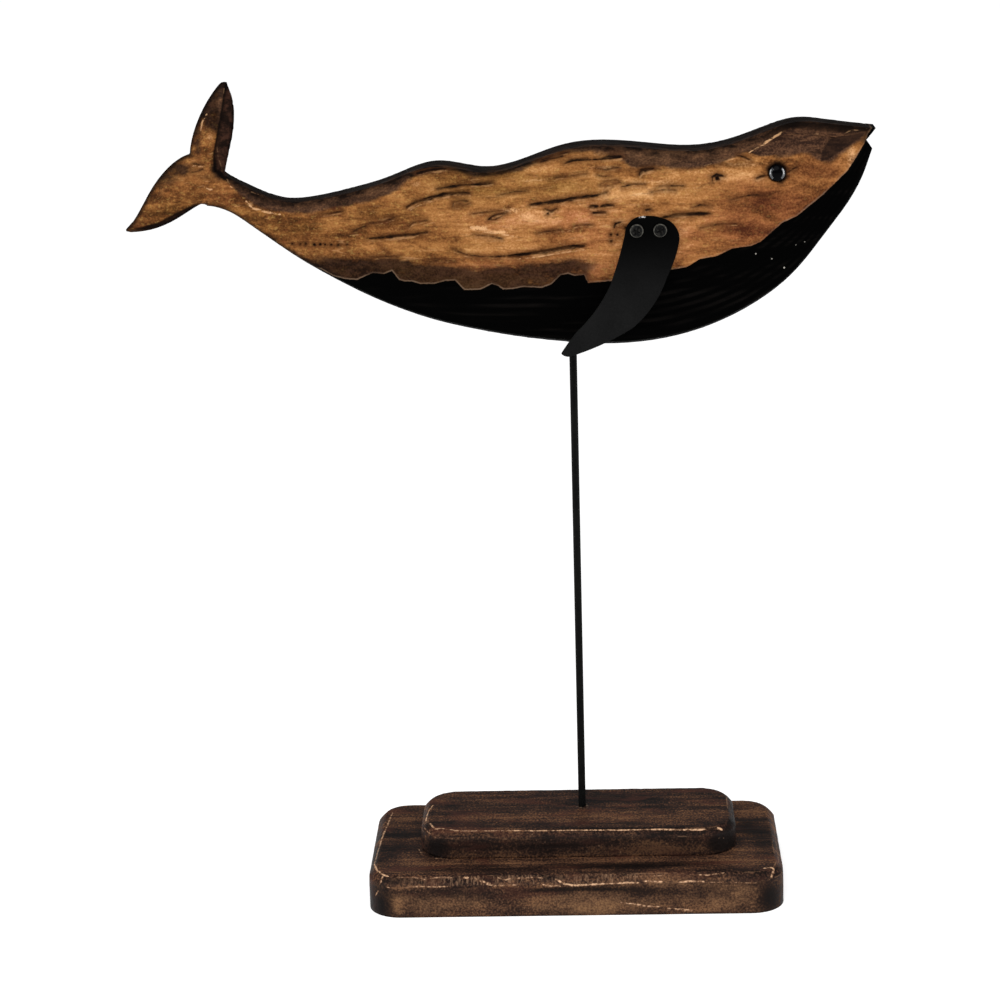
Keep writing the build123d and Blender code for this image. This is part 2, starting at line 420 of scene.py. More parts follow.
class Paint:
    """A material under construction. Its tone is built up by coats of display colours."""

    def __init__(self, name):
        self.material = bpy.data.materials.new(name)
        self.material.use_nodes = True
        self.tree = self.material.node_tree
        self.shader = self.tree.nodes["Principled BSDF"]
        self.place = self.add("ShaderNodeTexCoord").outputs["Object"]
        self.tone = None

    def feed(self, socket, value):
        """Links a socket to another one, or sets its value."""
        if isinstance(value, bpy.types.NodeSocket):
            self.tree.links.new(value, socket)
        else:
            socket.default_value = value

    def add(self, kind, sockets=None, **settings):
        made = self.tree.nodes.new(kind)
        for key, value in settings.items():
            setattr(made, key, value)
        for key, value in (sockets or {}).items():
            self.feed(made.inputs[key], value)
        return made

    def value(self, name):
        return self.add("ShaderNodeAttribute", attribute_name=name).outputs["Fac"]

    def along(self, axis):
        """The place along an axis of the object, in metres."""
        return self.add("ShaderNodeSeparateXYZ", {0: self.place}).outputs[axis]

    def math(self, operation, a, b):
        return self.add("ShaderNodeMath", {0: a, 1: b}, operation=operation).outputs[0]

    def times(self, *parts):
        result = parts[0]
        for part in parts[1:]:
            result = self.math("MULTIPLY", result, part)
        return result

    def plus(self, a, b):
        return self.math("ADD", a, b)

    def total(self, *parts):
        """The sum of some (weight, value) pairs."""
        result = None
        for weight, value in parts:
            part = self.times(value, weight)
            result = part if result is None else self.plus(result, part)
        return result

    def noise(self, scale, detail=3.0, rough=0.55, turn=0.0, warp=0.0):
        """Noise in cells per metre, along X, Y and Z or the same along all, turned about Y."""
        scale = scale if isinstance(scale, tuple) else (scale,) * 3
        place = self.add("ShaderNodeMapping", {
            "Vector": self.place, "Scale": scale, "Rotation": (0, turn, 0),
        })
        return self.add("ShaderNodeTexNoise", {
            "Vector": place.outputs[0], "Scale": 1.0, "Detail": detail,
            "Roughness": rough, "Distortion": warp,
        }).outputs["Fac"]

    def band(self, value, low, high, out_low=0.0, out_high=1.0):
        """A smooth change from one level to another."""
        return self.add("ShaderNodeMapRange", {
            "Value": value, "From Min": low, "From Max": high, "To Min": out_low, "To Max": out_high,
        }, interpolation_type="SMOOTHSTEP").outputs[0]

    def between(self, value, start, end, fade):
        """1 from start to end, and 0 further than a fade outside them."""
        return self.times(self.band(value, start - fade, start), self.band(value, end, end + fade, 1.0, 0.0))

    def ramp(self, value, *stops):
        """Tones by rows of place, red, green and blue."""
        made = self.add("ShaderNodeValToRGB", {"Fac": value})
        parts = made.color_ramp.elements
        while len(parts) < len(stops):
            parts.new(0.5)
        for part, (at, *tone) in zip(parts, stops):
            part.position = at
            part.color = colour(*tone)
        return made.outputs["Color"]

    def mix(self, share, a, b):
        made = self.add("ShaderNodeMix", data_type="RGBA", blend_type="MIX")
        colours = [s for s in made.inputs if s.type == "RGBA"]
        for socket, value in ((made.inputs[0], share), (colours[0], a), (colours[1], b)):
            self.feed(socket, colour(*value) if isinstance(value, tuple) else value)
        return [s for s in made.outputs if s.type == "RGBA"][0]

    def coat(self, tone, *shares):
        """Lays a tone over the others as strongly as the product of some shares."""
        self.tone = self.mix(self.times(*shares), self.tone, tone)

    def bump(self, height, distance, strength):
        made = self.add("ShaderNodeBump", {"Height": height, "Distance": distance, "Strength": strength})
        self.feed(self.shader.inputs["Normal"], made.outputs[0])

    def finish(self, rough, **fixed):
        self.feed(self.shader.inputs["Base Color"], self.tone)
        self.feed(self.shader.inputs["Roughness"], rough)
        for name, value in fixed.items():
            self.feed(self.shader.inputs[name.replace("_", " ")], value)
        return self.material

# The whale

# Lines of the whale's side, by their points in the photograph, left to right.
# The lower edge of the brown wood, above the black belly
BELLY_LINE = (
    (296, 262), (316, 267.5), (321, 269), (333, 276), (345, 279), (357, 280), (366, 276), (373, 273),
    (384, 274), (392, 271), (399, 280), (405, 281.5), (412, 281.5), (420, 284), (434, 284), (445, 281),
    (455, 280.5), (464, 290), (473, 290), (481, 289.5), (492, 284), (498, 286), (503, 289.5), (512, 289),
    (524, 287), (542, 288), (552, 284), (561, 275), (568, 274), (575, 276), (584, 275), (588, 283),
    (600, 282), (611, 281), (625, 279), (640, 276), (655, 273), (669, 270), (687, 267), (700, 259),
    (717, 256), (732, 248.6), (751, 246), (761, 241.6), (771, 232.7), (782, 223), (797, 216), (808, 207),
    (822, 195.7), (835, 183), (847, 171.4), (857, 156), (864.5, 143), (868, 134), (884, 118),
)
# The lower edge of the burnt back
BACK_LINE = (
    (222, 172), (228, 180), (231.7, 187), (240, 196.7), (251.7, 203), (260, 208), (276.7, 211.7),
    (293, 213.7), (310, 213), (326.7, 209.5), (343, 207), (361, 204), (375, 200), (390, 193), (403, 185),
    (415, 176.7), (433, 170.5), (446.7, 169), (458, 168), (466, 173), (474, 176), (487, 174), (500, 171.7),
    (520, 170), (533, 163), (550, 156), (570, 151.7), (590, 150.5), (604, 153), (614, 158), (624, 161),
    (632, 167), (646, 168.5), (664, 166), (676, 169), (688, 169.5), (704, 168), (720, 163), (736, 155.5),
    (748, 153), (752, 156), (780, 158), (795, 155), (806, 154), (818, 160), (830, 163), (848, 150),
    (862, 138), (868, 131), (884, 112),
)
# Cuts in the wood: points, width and depth in millimetres
CUTS = (
    (((437, 189.2), (447, 187.5), (467, 184.7), (487, 182.5), (493, 181.7)), 1.3, 0.7),
    (((406.5, 207.5), (415, 202.5), (430, 198.3), (443, 195), (457, 193.3), (470, 193.3)), 1.5, 1.0),
    (((353, 232), (358, 229), (366, 226)), 0.8, 0.4),
    (((368, 223.5), (382, 222), (386, 221), (395, 218)), 0.7, 0.3),
    (((366.7, 239), (382, 238), (398, 236), (415, 234.7), (427, 232.3)), 1.4, 0.9),
    (((409, 226.7), (413, 223), (427, 220.6)), 0.8, 0.4),
    (((453, 207), (453.5, 202), (462, 200.6), (468, 201.5)), 0.8, 0.5),
    (((454, 207.6), (461, 207), (470, 203)), 0.6, 0.3),
    (((488, 220), (493, 216), (507, 212.3)), 0.9, 0.5),
    (((488, 220), (495, 220), (507, 213)), 0.6, 0.3),
    (((473, 235), (483, 236), (491, 236.8), (502, 239)), 0.8, 0.5),
    (((453, 250), (467, 255), (483, 256.8), (500, 256.7), (520, 255)), 0.8, 0.4),
    (((508, 256.5), (520, 255), (540, 252.5), (560, 249), (577, 246.6), (584, 246.6)), 1.7, 1.2),
    (((530, 205), (545, 203), (562, 200.8), (578, 198), (597, 195.6), (607, 192.7)), 1.7, 0.8),
    (((545, 209), (551, 212), (557, 208.5)), 1.1, 0.6),
    (((540, 161.7), (550, 158.4), (563, 155.6)), 0.9, 0.5),
    (((541, 159.5), (556, 154.5), (568, 151.8)), 0.6, 0.3),
    (((564, 163), (573, 159.7), (587, 158.5), (591, 159.5)), 1.7, 0.8),
    (((593, 159.3), (607, 157.3), (622, 155.2)), 1.6, 0.8),
    (((597, 175), (603, 176.6), (611, 176.5)), 0.7, 0.3),
    (((600, 185.5), (605, 182), (617, 180.3), (620, 182.5), (611, 186), (601, 186)), 0.6, 0.3),
    (((590, 207), (598, 206.6)), 1.7, 1.0),
    (((601, 206.8), (606, 205.6), (614, 205.6)), 1.2, 0.9),
    (((592.5, 213.3), (600, 212.8), (606, 212.6)), 1.2, 0.9),
    (((538, 233), (547, 231.7), (562, 230)), 0.7, 0.35),
    (((573, 226.7), (580, 225), (593, 225)), 0.7, 0.35),
    (((555, 178), (573, 175.8), (587, 174)), 0.7, 0.35),
    (((417, 173), (426, 170.5), (434, 169), (447, 168)), 1.0, 0.5),
    (((614, 228), (615.5, 224), (621, 222.5)), 1.0, 0.8),
    (((645, 210.3), (651, 209.3)), 1.2, 0.7),
    (((661, 218.9), (666, 217.4), (680, 215), (696, 213.8), (710, 213.8)), 1.9, 0.8),
    (((639.5, 175.5), (642, 170.5), (654, 168.6)), 1.7, 0.9),
    (((712.5, 182), (712.5, 177.5), (717, 174.8), (724, 176.5)), 1.4, 0.7),
    (((716, 178), (718.5, 179.5)), 2.2, 1.0),
    (((757, 178.6), (762, 176.6), (768, 175.4)), 1.0, 0.9),
    (((785, 173.5), (790, 171), (797.3, 167.3)), 0.9, 0.7),
    (((737, 155), (744, 157.4), (751, 160.5)), 1.0, 0.5),
    (((656, 188.5), (664, 185.6), (684, 186.3)), 0.7, 0.3),
    (((692, 208), (700, 205), (712, 206)), 0.7, 0.3),
    (((597, 168.5), (606, 170), (619, 167.5)), 0.7, 0.35),
    (((622, 187), (634, 184), (645, 184.5)), 0.7, 0.3),
    (((651, 192.5), (663, 190), (676, 190.5)), 0.6, 0.25),
    (((318, 214.5), (331, 213.5), (343, 211.3)), 0.9, 0.4),
    (((373, 257.6), (384, 256.4), (401, 256.8)), 0.8, 0.3),
    (((193, 163.3), (198, 164.8), (204, 164.6)), 0.8, 0.4),
    (((191, 172), (197, 171.3), (203, 169)), 0.9, 0.5),
    (((498, 195.5), (512, 192.5), (528, 191)), 0.6, 0.25),
    (((470, 214.5), (486, 212), (502, 211)), 0.6, 0.25),
    (((425, 262), (441, 260.5), (455, 261.5)), 0.6, 0.2),
    (((632, 240), (636, 246), (634, 254)), 0.6, 0.2),
    (((700, 228), (722, 224), (741, 224)), 0.7, 0.25),
    (((730, 200), (752, 195), (771, 196)), 0.7, 0.25),
)
# Small round holes: points in the photograph and radius in millimetres
HOLES = (
    ((292, 244.3), 0.35), ((300, 244.6), 0.45), ((305.5, 244.8), 0.6), ((314, 245.1), 0.65),
    ((320, 244.6), 0.5), ((325, 244.9), 0.5), ((331, 245), 0.45), ((338, 245.2), 0.4), ((347, 245), 0.35),
    ((611, 235), 0.5), ((611, 242), 0.5), ((617.5, 235), 0.4), ((626, 228), 0.4), ((548, 214), 0.5),
)
# Light lines: painted highlights on ridges, edges and below cuts, and streaks of rubbed light wood: points,
# width in millimetres and strength
HIGHLIGHTS_AND_RUBS = (
    (((749, 153), (758, 146.5), (767, 139.5)), 0.45, 1.2),
    (((767, 139.5), (774, 134.5), (781.5, 129.6)), 0.15, 0.95),
    (((815, 133), (824, 133.5)), 0.9, 0.5),
    (((832, 137.5), (840, 133), (849, 129.8), (858, 130)), 0.35, 0.55),
    (((858, 130), (868, 128.5)), 0.3, 0.4),
    (((246, 201.5), (252, 208), (263, 211.5), (280, 214.5)), 1.1, 1.0),
    (((227, 178), (230, 186), (236, 192)), 0.6, 0.7),
    (((200, 131), (202, 122), (206.5, 114)), 0.8, 0.75),
    (((224.3, 88), (224, 97)), 0.8, 0.55),
    (((203, 187.5), (209, 190), (212, 189.6)), 1.0, 0.85),
    (((218, 147), (219, 158), (223, 172)), 0.5, 0.45),
    (((233, 92), (234, 112), (232, 130)), 0.5, 0.4),
    (((250, 191.4), (266, 196.5), (280, 199)), 0.6, 0.5),
    (((471, 227.5), (478, 227.6), (486, 229.5)), 2.2, 0.95),
    (((486, 230), (500, 233.5), (513, 236.5)), 1.0, 0.9),
    (((519, 259), (540, 256.8), (562, 253), (584, 250)), 0.7, 0.7),
    (((193, 166), (198, 167), (204, 166.6)), 1.0, 0.85),
    (((410, 210.5), (419, 205.5), (432, 201.5)), 0.7, 0.6),
    (((436, 191.5), (450, 189.5), (466, 187.3)), 0.6, 0.4),
    (((380, 240.5), (396, 238.6), (412, 237)), 0.6, 0.5),
    (((417, 176), (424, 173), (434, 171.5)), 0.8, 0.4),
    (((664, 220), (684, 217.4), (704, 216)), 0.5, 0.4),
    (((704, 166), (716, 162.5), (728, 158)), 0.6, 0.5),
)
# The head's dark panels and the flukes' dark bevels, as polygons in the photograph
HEAD_PANEL = (
    (749, 153), (765, 141), (781, 129.6), (790, 125), (806, 126), (828, 128.4), (850, 130),
    (830, 140), (822, 151), (800, 153), (780, 155), (760, 157),
)
SNOUT_PANEL = (
    (822, 151), (830, 140), (840, 134), (860, 131), (867, 131), (864, 136),
    (850, 146), (840, 153), (828, 161), (820, 162),
)
UPPER_BEVEL = (
    (226, 82), (231, 90), (234, 104), (234, 126), (230, 148), (229, 164), (233, 176),
    (224, 180), (214, 170), (213.5, 152), (216.5, 134), (220.5, 112), (223.5, 92),
)
LOWER_BEVEL = (
    (122, 234), (140, 234), (158, 231), (176, 222), (192, 212), (200, 205), (188, 207.5),
    (176, 213), (158, 222.5), (140, 227.5),
)
# Soft patches of other tones: middle, half width, half height in pixels, weight
ROSE = (
    (575, 215, 46, 14, 0.9), (500, 222, 40, 12, 0.5), (428, 184, 24, 8, 0.6), (590, 240, 32, 20, 0.7),
    (700, 240, 40, 24, 0.9), (790, 214, 50, 26, 0.9), (645, 262, 30, 12, 0.5), (560, 262, 60, 10, 0.5),
    (225, 195, 20, 12, 0.3), (345, 218, 34, 8, 0.4), (740, 190, 40, 12, 0.6), (480, 268, 40, 10, 0.4),
    (820, 170, 30, 14, 0.5), (760, 225, 50, 22, 0.8), (585, 268, 46, 16, 1.0), (500, 268, 60, 14, 0.6),
)
PALE = (
    (518, 217, 26, 8, 1.0), (650, 180, 70, 9, 1.0), (590, 190, 30, 8, 0.5), (700, 205, 40, 8, 0.4),
    (548, 216, 20, 6, 0.7), (848, 164, 9, 14, 0.7), (690, 178, 60, 9, 0.8), (610, 180, 50, 12, 0.9),
    (210, 137, 7, 10, 1.0), (470, 246, 34, 8, 0.5), (430, 246, 40, 6, 0.4), (745, 172, 30, 7, 0.6),
    (590, 220, 14, 8, 0.5), (660, 250, 10, 26, 0.4), (300, 232, 40, 8, 0.35), (186, 199, 22, 6, 0.35),
    (800, 186, 34, 8, 0.5), (560, 240, 50, 6, 0.25), (640, 196, 60, 7, 0.6), (430, 184, 16, 6, 0.5),
    (520, 176, 16, 5, 0.5), (735, 215, 26, 7, 0.45), (478, 208, 14, 5, 0.4),
)
OLIVE = (
    (555, 186, 46, 10, 0.6), (430, 181, 34, 8, 0.4), (310, 226, 60, 12, 0.5), (470, 192, 56, 14, 0.5),
    (165, 212, 34, 10, 0.5), (380, 214, 40, 8, 0.4), (250, 215, 24, 10, 0.4), (500, 176, 40, 6, 0.4),
    (440, 250, 50, 8, 0.3), (700, 190, 40, 6, 0.25),
)
DIM = (
    (812, 190, 46, 22, 1.0), (808, 186, 26, 12, 0.6), (208, 150, 14, 20, 0.7), (200, 112, 8, 30, 0.6),
    (165, 205, 36, 18, 0.6), (825, 175, 20, 20, 0.5), (212, 118, 14, 34, 0.9), (378, 236, 50, 20, 0.4),
    (790, 215, 50, 20, 0.7), (850, 168, 16, 16, 0.4), (150, 205, 60, 40, 0.6), (270, 225, 60, 40, 0.7),
    (360, 235, 60, 40, 0.5), (740, 225, 60, 40, 0.15), (800, 200, 60, 50, 0.35), (690, 245, 50, 30, 0.2),
    (215, 120, 30, 60, 0.9), (560, 225, 40, 20, 0.2),
)
SMOKE = (
    (338, 270, 26, 14, 1.0), (500, 278, 60, 10, 0.9), (420, 274, 44, 9, 0.9), (575, 264, 30, 8, 0.5),
    (222, 172, 10, 9, 0.9), (167, 178, 14, 8, 0.9), (206, 92, 12, 26, 0.6), (540, 268, 40, 8, 0.6),
    (475, 172, 16, 6, 0.7), (660, 168, 60, 6, 0.5), (740, 164, 20, 5, 0.4), (390, 264, 34, 6, 0.9),
    (215, 116, 5, 16, 0.8), (860, 140, 6, 6, 0.5), (204, 178, 8, 4, 0.5), (186, 172, 10, 6, 0.5),
    (218, 106, 13, 20, 0.9), (197, 128, 4, 22, 0.8), (196, 150, 5, 10, 0.5), (175, 168, 12, 6, 0.45),
    (160, 188, 4, 14, 0.5), (222, 96, 9, 16, 1.0), (205, 112, 5, 20, 0.6), (215, 165, 5, 10, 0.7),
    (178, 168, 14, 5, 0.6), (221, 108, 9, 16, 0.6), (211, 110, 10, 20, 0.35), (871, 127, 6, 4, 1.0),
    (700, 163, 24, 4, 0.7), (620, 158, 20, 4, 0.5), (826, 160, 12, 6, 0.5), (430, 172, 14, 3, 0.6),
)
# Bright patches of lighter wood: middle, half width, half height in pixels, weight
BRIGHT = (
    (479, 228.3, 9, 2.6, 1.0), (496, 232.5, 14, 1.6, 0.9), (511, 210.5, 12, 3.5, 0.6),
    (528, 216, 11, 3, 0.5), (210, 137, 4, 6, 0.35), (250, 204, 4, 3, 0.4), (700, 172, 30, 2.5, 0.4),
    (720, 160, 26, 2, 0.5), (660, 182, 30, 3, 0.4), (605, 168, 20, 3, 0.4), (745, 165, 30, 2.5, 0.5),
    (852, 158, 5, 12, 0.6), (563, 232, 18, 2, 0.3), (640, 205, 24, 2.5, 0.3), (430, 250, 26, 2, 0.3),
    (400, 229, 20, 2, 0.35), (540, 180, 26, 2, 0.4), (478, 168.5, 12, 1.5, 0.4), (416, 184, 6, 4, 0.4),
    (620, 223, 8, 4, 0.4),
)
# Small dark patches: stains round knots, and painted shade round cuts: middle, half width, half height in
# pixels, weight
BLOTS_AND_SHADE = (
    (460, 204, 8, 3.5, 0.8), (494, 218, 6, 3, 0.6), (611, 183.5, 9, 2.5, 0.45), (551, 210, 5, 2.5, 0.7),
    (719, 178, 5, 4, 1.0), (643, 171.5, 8, 4, 0.9), (598, 207, 6, 1.6, 0.6), (607, 212.5, 8, 1.6, 0.4),
    (667, 187, 16, 3, 0.4), (567, 159, 12, 3, 0.5), (575, 198, 18, 2.5, 0.4), (700, 215, 16, 2, 0.5),
    (650, 199, 22, 3, 0.3), (455, 222, 5, 2, 0.5), (420, 216, 8, 2, 0.4), (344, 211, 6, 1.5, 0.4),
    (380, 258, 14, 2, 0.4), (742, 156, 8, 2.5, 0.6), (633, 229, 6, 6, 0.2), (606, 157, 10, 2.5, 0.5),
)
# How strongly smoke darkens the wood above the belly: pixel column and strength
SHADE_ALONG = (
    (250, 0.0), (300, 0.6), (330, 1.1), (370, 1.1), (430, 0.9), (490, 1.0), (560, 0.7), (612, 0.5),
    (690, 0.15), (860, 0.1),
)
# Pale specks on the black belly: points and radius in millimetres
SPECKS = (
    ((756, 254), 0.34), ((772, 259), 0.34), ((784.5, 268), 0.4), ((796, 245), 0.22), ((805, 242), 0.22),
)

# The soft patches by the names that the wood's material reads
SOFT_PATCHES = {"rose": ROSE, "pale": PALE, "olive": OLIVE, "dim": DIM, "blot_and_shade": BLOTS_AND_SHADE, "bright": BRIGHT}

# The near face of the plank from its middle, in millimetres
PLANK_HALF = 16.0
# Depth of the right side where the camera misses it, and how many pixels further in it looks then
MISSED_DEPTH = -12.0
FURTHER_IN = 6
# A place across the whale that is outside its right face
OUTSIDE = -60
# The left side's marks are set off a little along X and Z
LEFT_SET_OFF = np.array((5.0, -1.2))
# Rounds in the corner between the lower lobe and the tail stock: middle in pixels, radius in millimetres
FLUKE_ROOT = ((201.3, 201.6, 1.5), (204.6, 201.8, 1.5), (207.5, 202.6, 1.3))
# How much shorter the rounds are than the plank is thick, and how far their ends show round and below them
ROUND_SHORTER = 0.4
ROUND_BESIDE = 2.8
ROUND_BELOW = 1.6
# Plugs that fill the pilot holes and the socket, and the drill that cuts the socket: radius and length
PILOT_PLUG = (2.2, 31.4)
SOCKET_PLUG = (2.6, 44)
SOCKET_PLUG_HEIGHT = 24
DRILL = (2.0, 45.4)
DRILL_HEIGHT = 18.0
DRILL_SIDES = 48
# Size of the remesh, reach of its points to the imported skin, and the edges that stay sharp, in degrees
WHALE_VOXEL = 1.1
WHALE_SKIN = 0.9
WHALE_SHARP = 50
WHALE_SHARP_REACH = 0.7
# Edges longer than this times the second number are split within the first of a mark
FINE_EDGE = 0.69
FINE_STEPS = ((1.3, 1.2), (0.9, 0.9))
# How far shallow cuts fade, in millimetres for each millimetre less of depth
FAINT = 0.35
# Radii of the eye's seat: its edge, where it is flat, and where the carving starts and is full
SEAT_EDGE = 4.2
SEAT_FLAT = 4.35
SEAT_CLEAR = (4.3, 5.6)
# How far the wood stays below the flippers' sheets
FLIPPER_GAP = 0.05
# Points whose normals lean less than this towards the side belong to the rim, or have no cuts
RIM_LEAN = 0.35
CUT_LEAN = 0.2
# The gouge's hollows: how many, where, how large, and how tilted in degrees before and past a place
GOUGES = 230
GOUGE_ALONG = (-135, 135)
GOUGE_UP = (12, 112)
GOUGE_LENGTH = (3, 11)
GOUGE_WIDTH = (0.7, 1.6)
GOUGE_DEPTH = (0.12, 0.42)
GOUGE_TILTS = ((0, 11), (-4, 7))
GOUGE_TILT_PLACE = 30
# The black belly's ribs: their spacing, where they turn to follow the belly's line, and their cells
RIB_SPACING = 3.9
RIB_TURN = (8, 60)
RIB_CELLS = (18.0, 30.0, 7.0)
BELLY_STEPS = (-160, 150, 4.0)
# Cells of the uneven carving, coarse and fine, in millimetres along X, Y and Z
COARSE_CELLS = (26.0, 30.0, 9.0)
FINE_CELLS = (9.0, 12.0, 2.6)
# How far a normal leans to the side where the carving starts and is full
FACING = (0.3, 0.75)
# The head's panels: outline, depth for each millimetre of height, and the most depth
PANELS = ((HEAD_PANEL, 0.22, 2.6), (SNOUT_PANEL, 0.16, 1.8))
# The hollow on the upper lobe: its depth, and the inset where its raised middle starts and is full
HOLLOW_DEPTH = 0.9
HOLLOW_MIDDLE = (1.2, 3.2)
# Pixel columns between which the rough carving of the side turns into the smooth head
HEAD_START = (690, 760)
# Pixel rows where those columns and the columns of SHADE_ALONG are looked up
HEAD_ROW = 220
SHADE_ROW = 230


class Whale:
    """The carved body in its own frame, with what is known about each of its points."""

    def __init__(self):
        points, tris = node_shell("whale_body")
        self.shell = points - WHALE_PLACE, tris
        self.tree = face_tree(*self.shell)
        low, high = in_mm(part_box("right_eye"), WHALE_PLACE)
        self.eye = (low + high) / 2
        self.eye_floor = abs(high[1])
        self.rounds = []
        self.points, self.tris = self.even_mesh()
        self.place_marks()
        self.refine()
        self.measure()

    def seen(self, px, py):
        """Where the camera meets the whale's right side at a point of the image, as X and Z."""
        ray = sight(px, py)
        start = Vector(CAMERA_PLACE / MM) - Vector(WHALE_PLACE)
        hit = self.tree.ray_cast(start, ray)[0]
        if hit is None:
            inward = FURTHER_IN if px < IMAGE_SIZE / 2 else -FURTHER_IN
            near = self.tree.ray_cast(start, sight(px + inward, py))[0]
            depth = near.y if near else MISSED_DEPTH
            hit = start + ray * ((depth - start.y) / ray.y)
        return hit.x, hit.z

    def flat(self, line):
        return np.array([self.seen(*p) for p in line])

    def within(self, polygon):
        return inside(self.sides, self.flat(polygon))

    def from_eye(self, p):
        return np.hypot(p[:, 0] - self.eye[0], p[:, 2] - self.eye[2])

    def side_places(self, p):
        """Flat places of the marks for each point."""
        return p[:, [0, 2]] + (p[:, 1:2] > 0) * LEFT_SET_OFF

    def even_mesh(self):
        """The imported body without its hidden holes, in even triangles."""
        shell, tree = self.shell[0], self.tree
        plugs = []
        for end in ("rear", "front"):
            low, high = in_mm(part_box(f"right_flipper_{end}_screw"), WHALE_PLACE)
            x, _, z = (low + high) / 2
            plugs.append(cylinder_shell((x, 0, z), 1, *PILOT_PLUG))
        plugs.append(cylinder_shell((0, 0, SOCKET_PLUG_HEIGHT), 2, *SOCKET_PLUG))
        fills = []
        for px, py, radius in FLUKE_ROOT:
            x, z = self.seen(px, py)
            top = abs(tree.ray_cast(Vector((x, OUTSIDE, z)), Vector((0, 1, 0)))[0].y)
            fills.append(cylinder_shell((x, 0, z), 1, radius, 2 * top - ROUND_SHORTER))
            self.rounds.append((x, z, radius, top))
        points, tris = remeshed([self.shell] + plugs + fills, WHALE_VOXEL)
        points = relaxed(points, tris, 2)
        points = laid_on(points, face_tree(*joined([self.shell] + fills)), WHALE_SKIN)
        points = tips_restored(points, shell)
        sharp = sharp_places(*self.shell, WHALE_SHARP)
        return edges_restored(points, tris, sharp, WHALE_SHARP_REACH * WHALE_VOXEL)

    def place_marks(self):
        """Finds the places of all marks on the whale's side."""
        self.belly_line, self.back_line = self.flat(BELLY_LINE), self.flat(BACK_LINE)
        self.cuts = [(self.flat(line), width, depth) for line, width, depth in CUTS]
        self.holes = [(self.seen(*p), radius) for p, radius in HOLES]
        self.specks = [(self.seen(*p), radius) for p, radius in SPECKS]
        self.rubs = [(self.flat(line), width, strength) for line, width, strength in HIGHLIGHTS_AND_RUBS]

    def near_marks(self, p, reach):
        """Whether points lie beside a mark, the edge of the black paint or the eye's seat."""
        q = self.side_places(p)
        spots = np.array([place for place, _ in self.holes + self.specks])
        near = near_lines(q, [line for line, _, _ in self.cuts + self.rubs], reach)
        near |= np.abs(signed_from(p[:, [0, 2]], self.belly_line)) < reach
        near |= np.min([np.linalg.norm(q - spot, axis=1) for spot in spots], axis=0) < reach
        return near | (np.abs(self.from_eye(p) - SEAT_EDGE) < reach)

    def refine(self):
        for reach, share in FINE_STEPS:
            least = share * FINE_EDGE
            self.points, self.tris = refined(
                self.points, self.tris, lambda m, s: (s > least) & self.near_marks(m, reach))

    def measure(self):
        """Measures each point: where it faces, and how far it is from the lines and the rim."""
        self.sides = self.points[:, [0, 2]]
        self.marks = self.side_places(self.points)
        self.normals = point_normals(self.points, self.tris)
        self.facing = smooth_step(np.abs(self.normals[:, 1]), *FACING)
        self.ink = -signed_from(self.sides, self.belly_line)
        past_start = self.sides[:, 0] - self.back_line[0, 0]
        self.crown = np.minimum(signed_from(self.sides, self.back_line), past_start)
        self.rim = self.rim_distance()
        self.wood = smooth_step(-self.ink, 0.0, 1.2)
        self.slit = np.full(len(self.points), -3.0)
        self.lip_highlight = np.full(len(self.points), -3.0)
        self.chip = np.full(len(self.points), -2.0)

    def rim_distance(self):
        """How far each point lies from the rim of the plank's face, seen from the side."""
        points = self.points
        rim = np.abs(self.normals[:, 1]) < RIM_LEAN
        # The ends of the rounds, which lie a little below the face, are no rim
        for x, z, radius, top in self.rounds:
            around = np.hypot(points[:, 0] - x, points[:, 2] - z) < radius + ROUND_BESIDE
            rim &= ~(around & (np.abs(points[:, 1]) > top - ROUND_BELOW))
        level = points * (1, 0, 1)
        tree = point_tree(level[rim])
        return np.array([tree.find(p)[2] for p in level])

    def carve(self):
        """Works out the depth of the carving below the plank's face."""
        uneven = 0.3 + 0.3 * cell_noise(self.points / COARSE_CELLS + 3, 11)
        fine = 0.1 + 0.1 * cell_noise(self.points / FINE_CELLS, 12)
        self.depth = (uneven + fine) * (self.facing * self.wood * smooth_step(self.rim, 0.5, 4.0))
        self.carve_gouges()
        self.carve_cuts()
        self.carve_belly()
        self.carve_head()
        self.depth *= smooth_step(self.from_eye(self.points), *SEAT_CLEAR)

    def carve_gouges(self):
        """Short hollows of a gouge."""
        draw = np.random.default_rng(21)
        for _ in range(GOUGES):
            x, z = draw.uniform(*GOUGE_ALONG), draw.uniform(*GOUGE_UP)
            side = draw.choice((-1, 1))
            length, width = draw.uniform(*GOUGE_LENGTH), draw.uniform(*GOUGE_WIDTH)
            angle = math.radians(draw.uniform(*GOUGE_TILTS[x >= GOUGE_TILT_PLACE]))
            deep = draw.uniform(*GOUGE_DEPTH)
            across, up = self.points[:, 0] - x, self.points[:, 2] - z
            near = (np.abs(across) < length + 1) & (np.abs(up) < length) & (self.points[:, 1] * side > 2)
            near = np.flatnonzero(near)
            u = across[near] * math.cos(angle) + up[near] * math.sin(angle)
            v = -across[near] * math.sin(angle) + up[near] * math.cos(angle)
            v = v + 0.5 * (u / length) ** 2 * width
            hollow = np.clip(1 - (u / length) ** 2 - (v / width) ** 2, 0, 1)
            lean = 1 - 0.5 * np.clip(v / width, -1, 1)
            inner = smooth_step(self.rim[near], 3, 6)
            self.depth[near] += deep * hollow * lean * self.wood[near] * self.facing[near] * inner

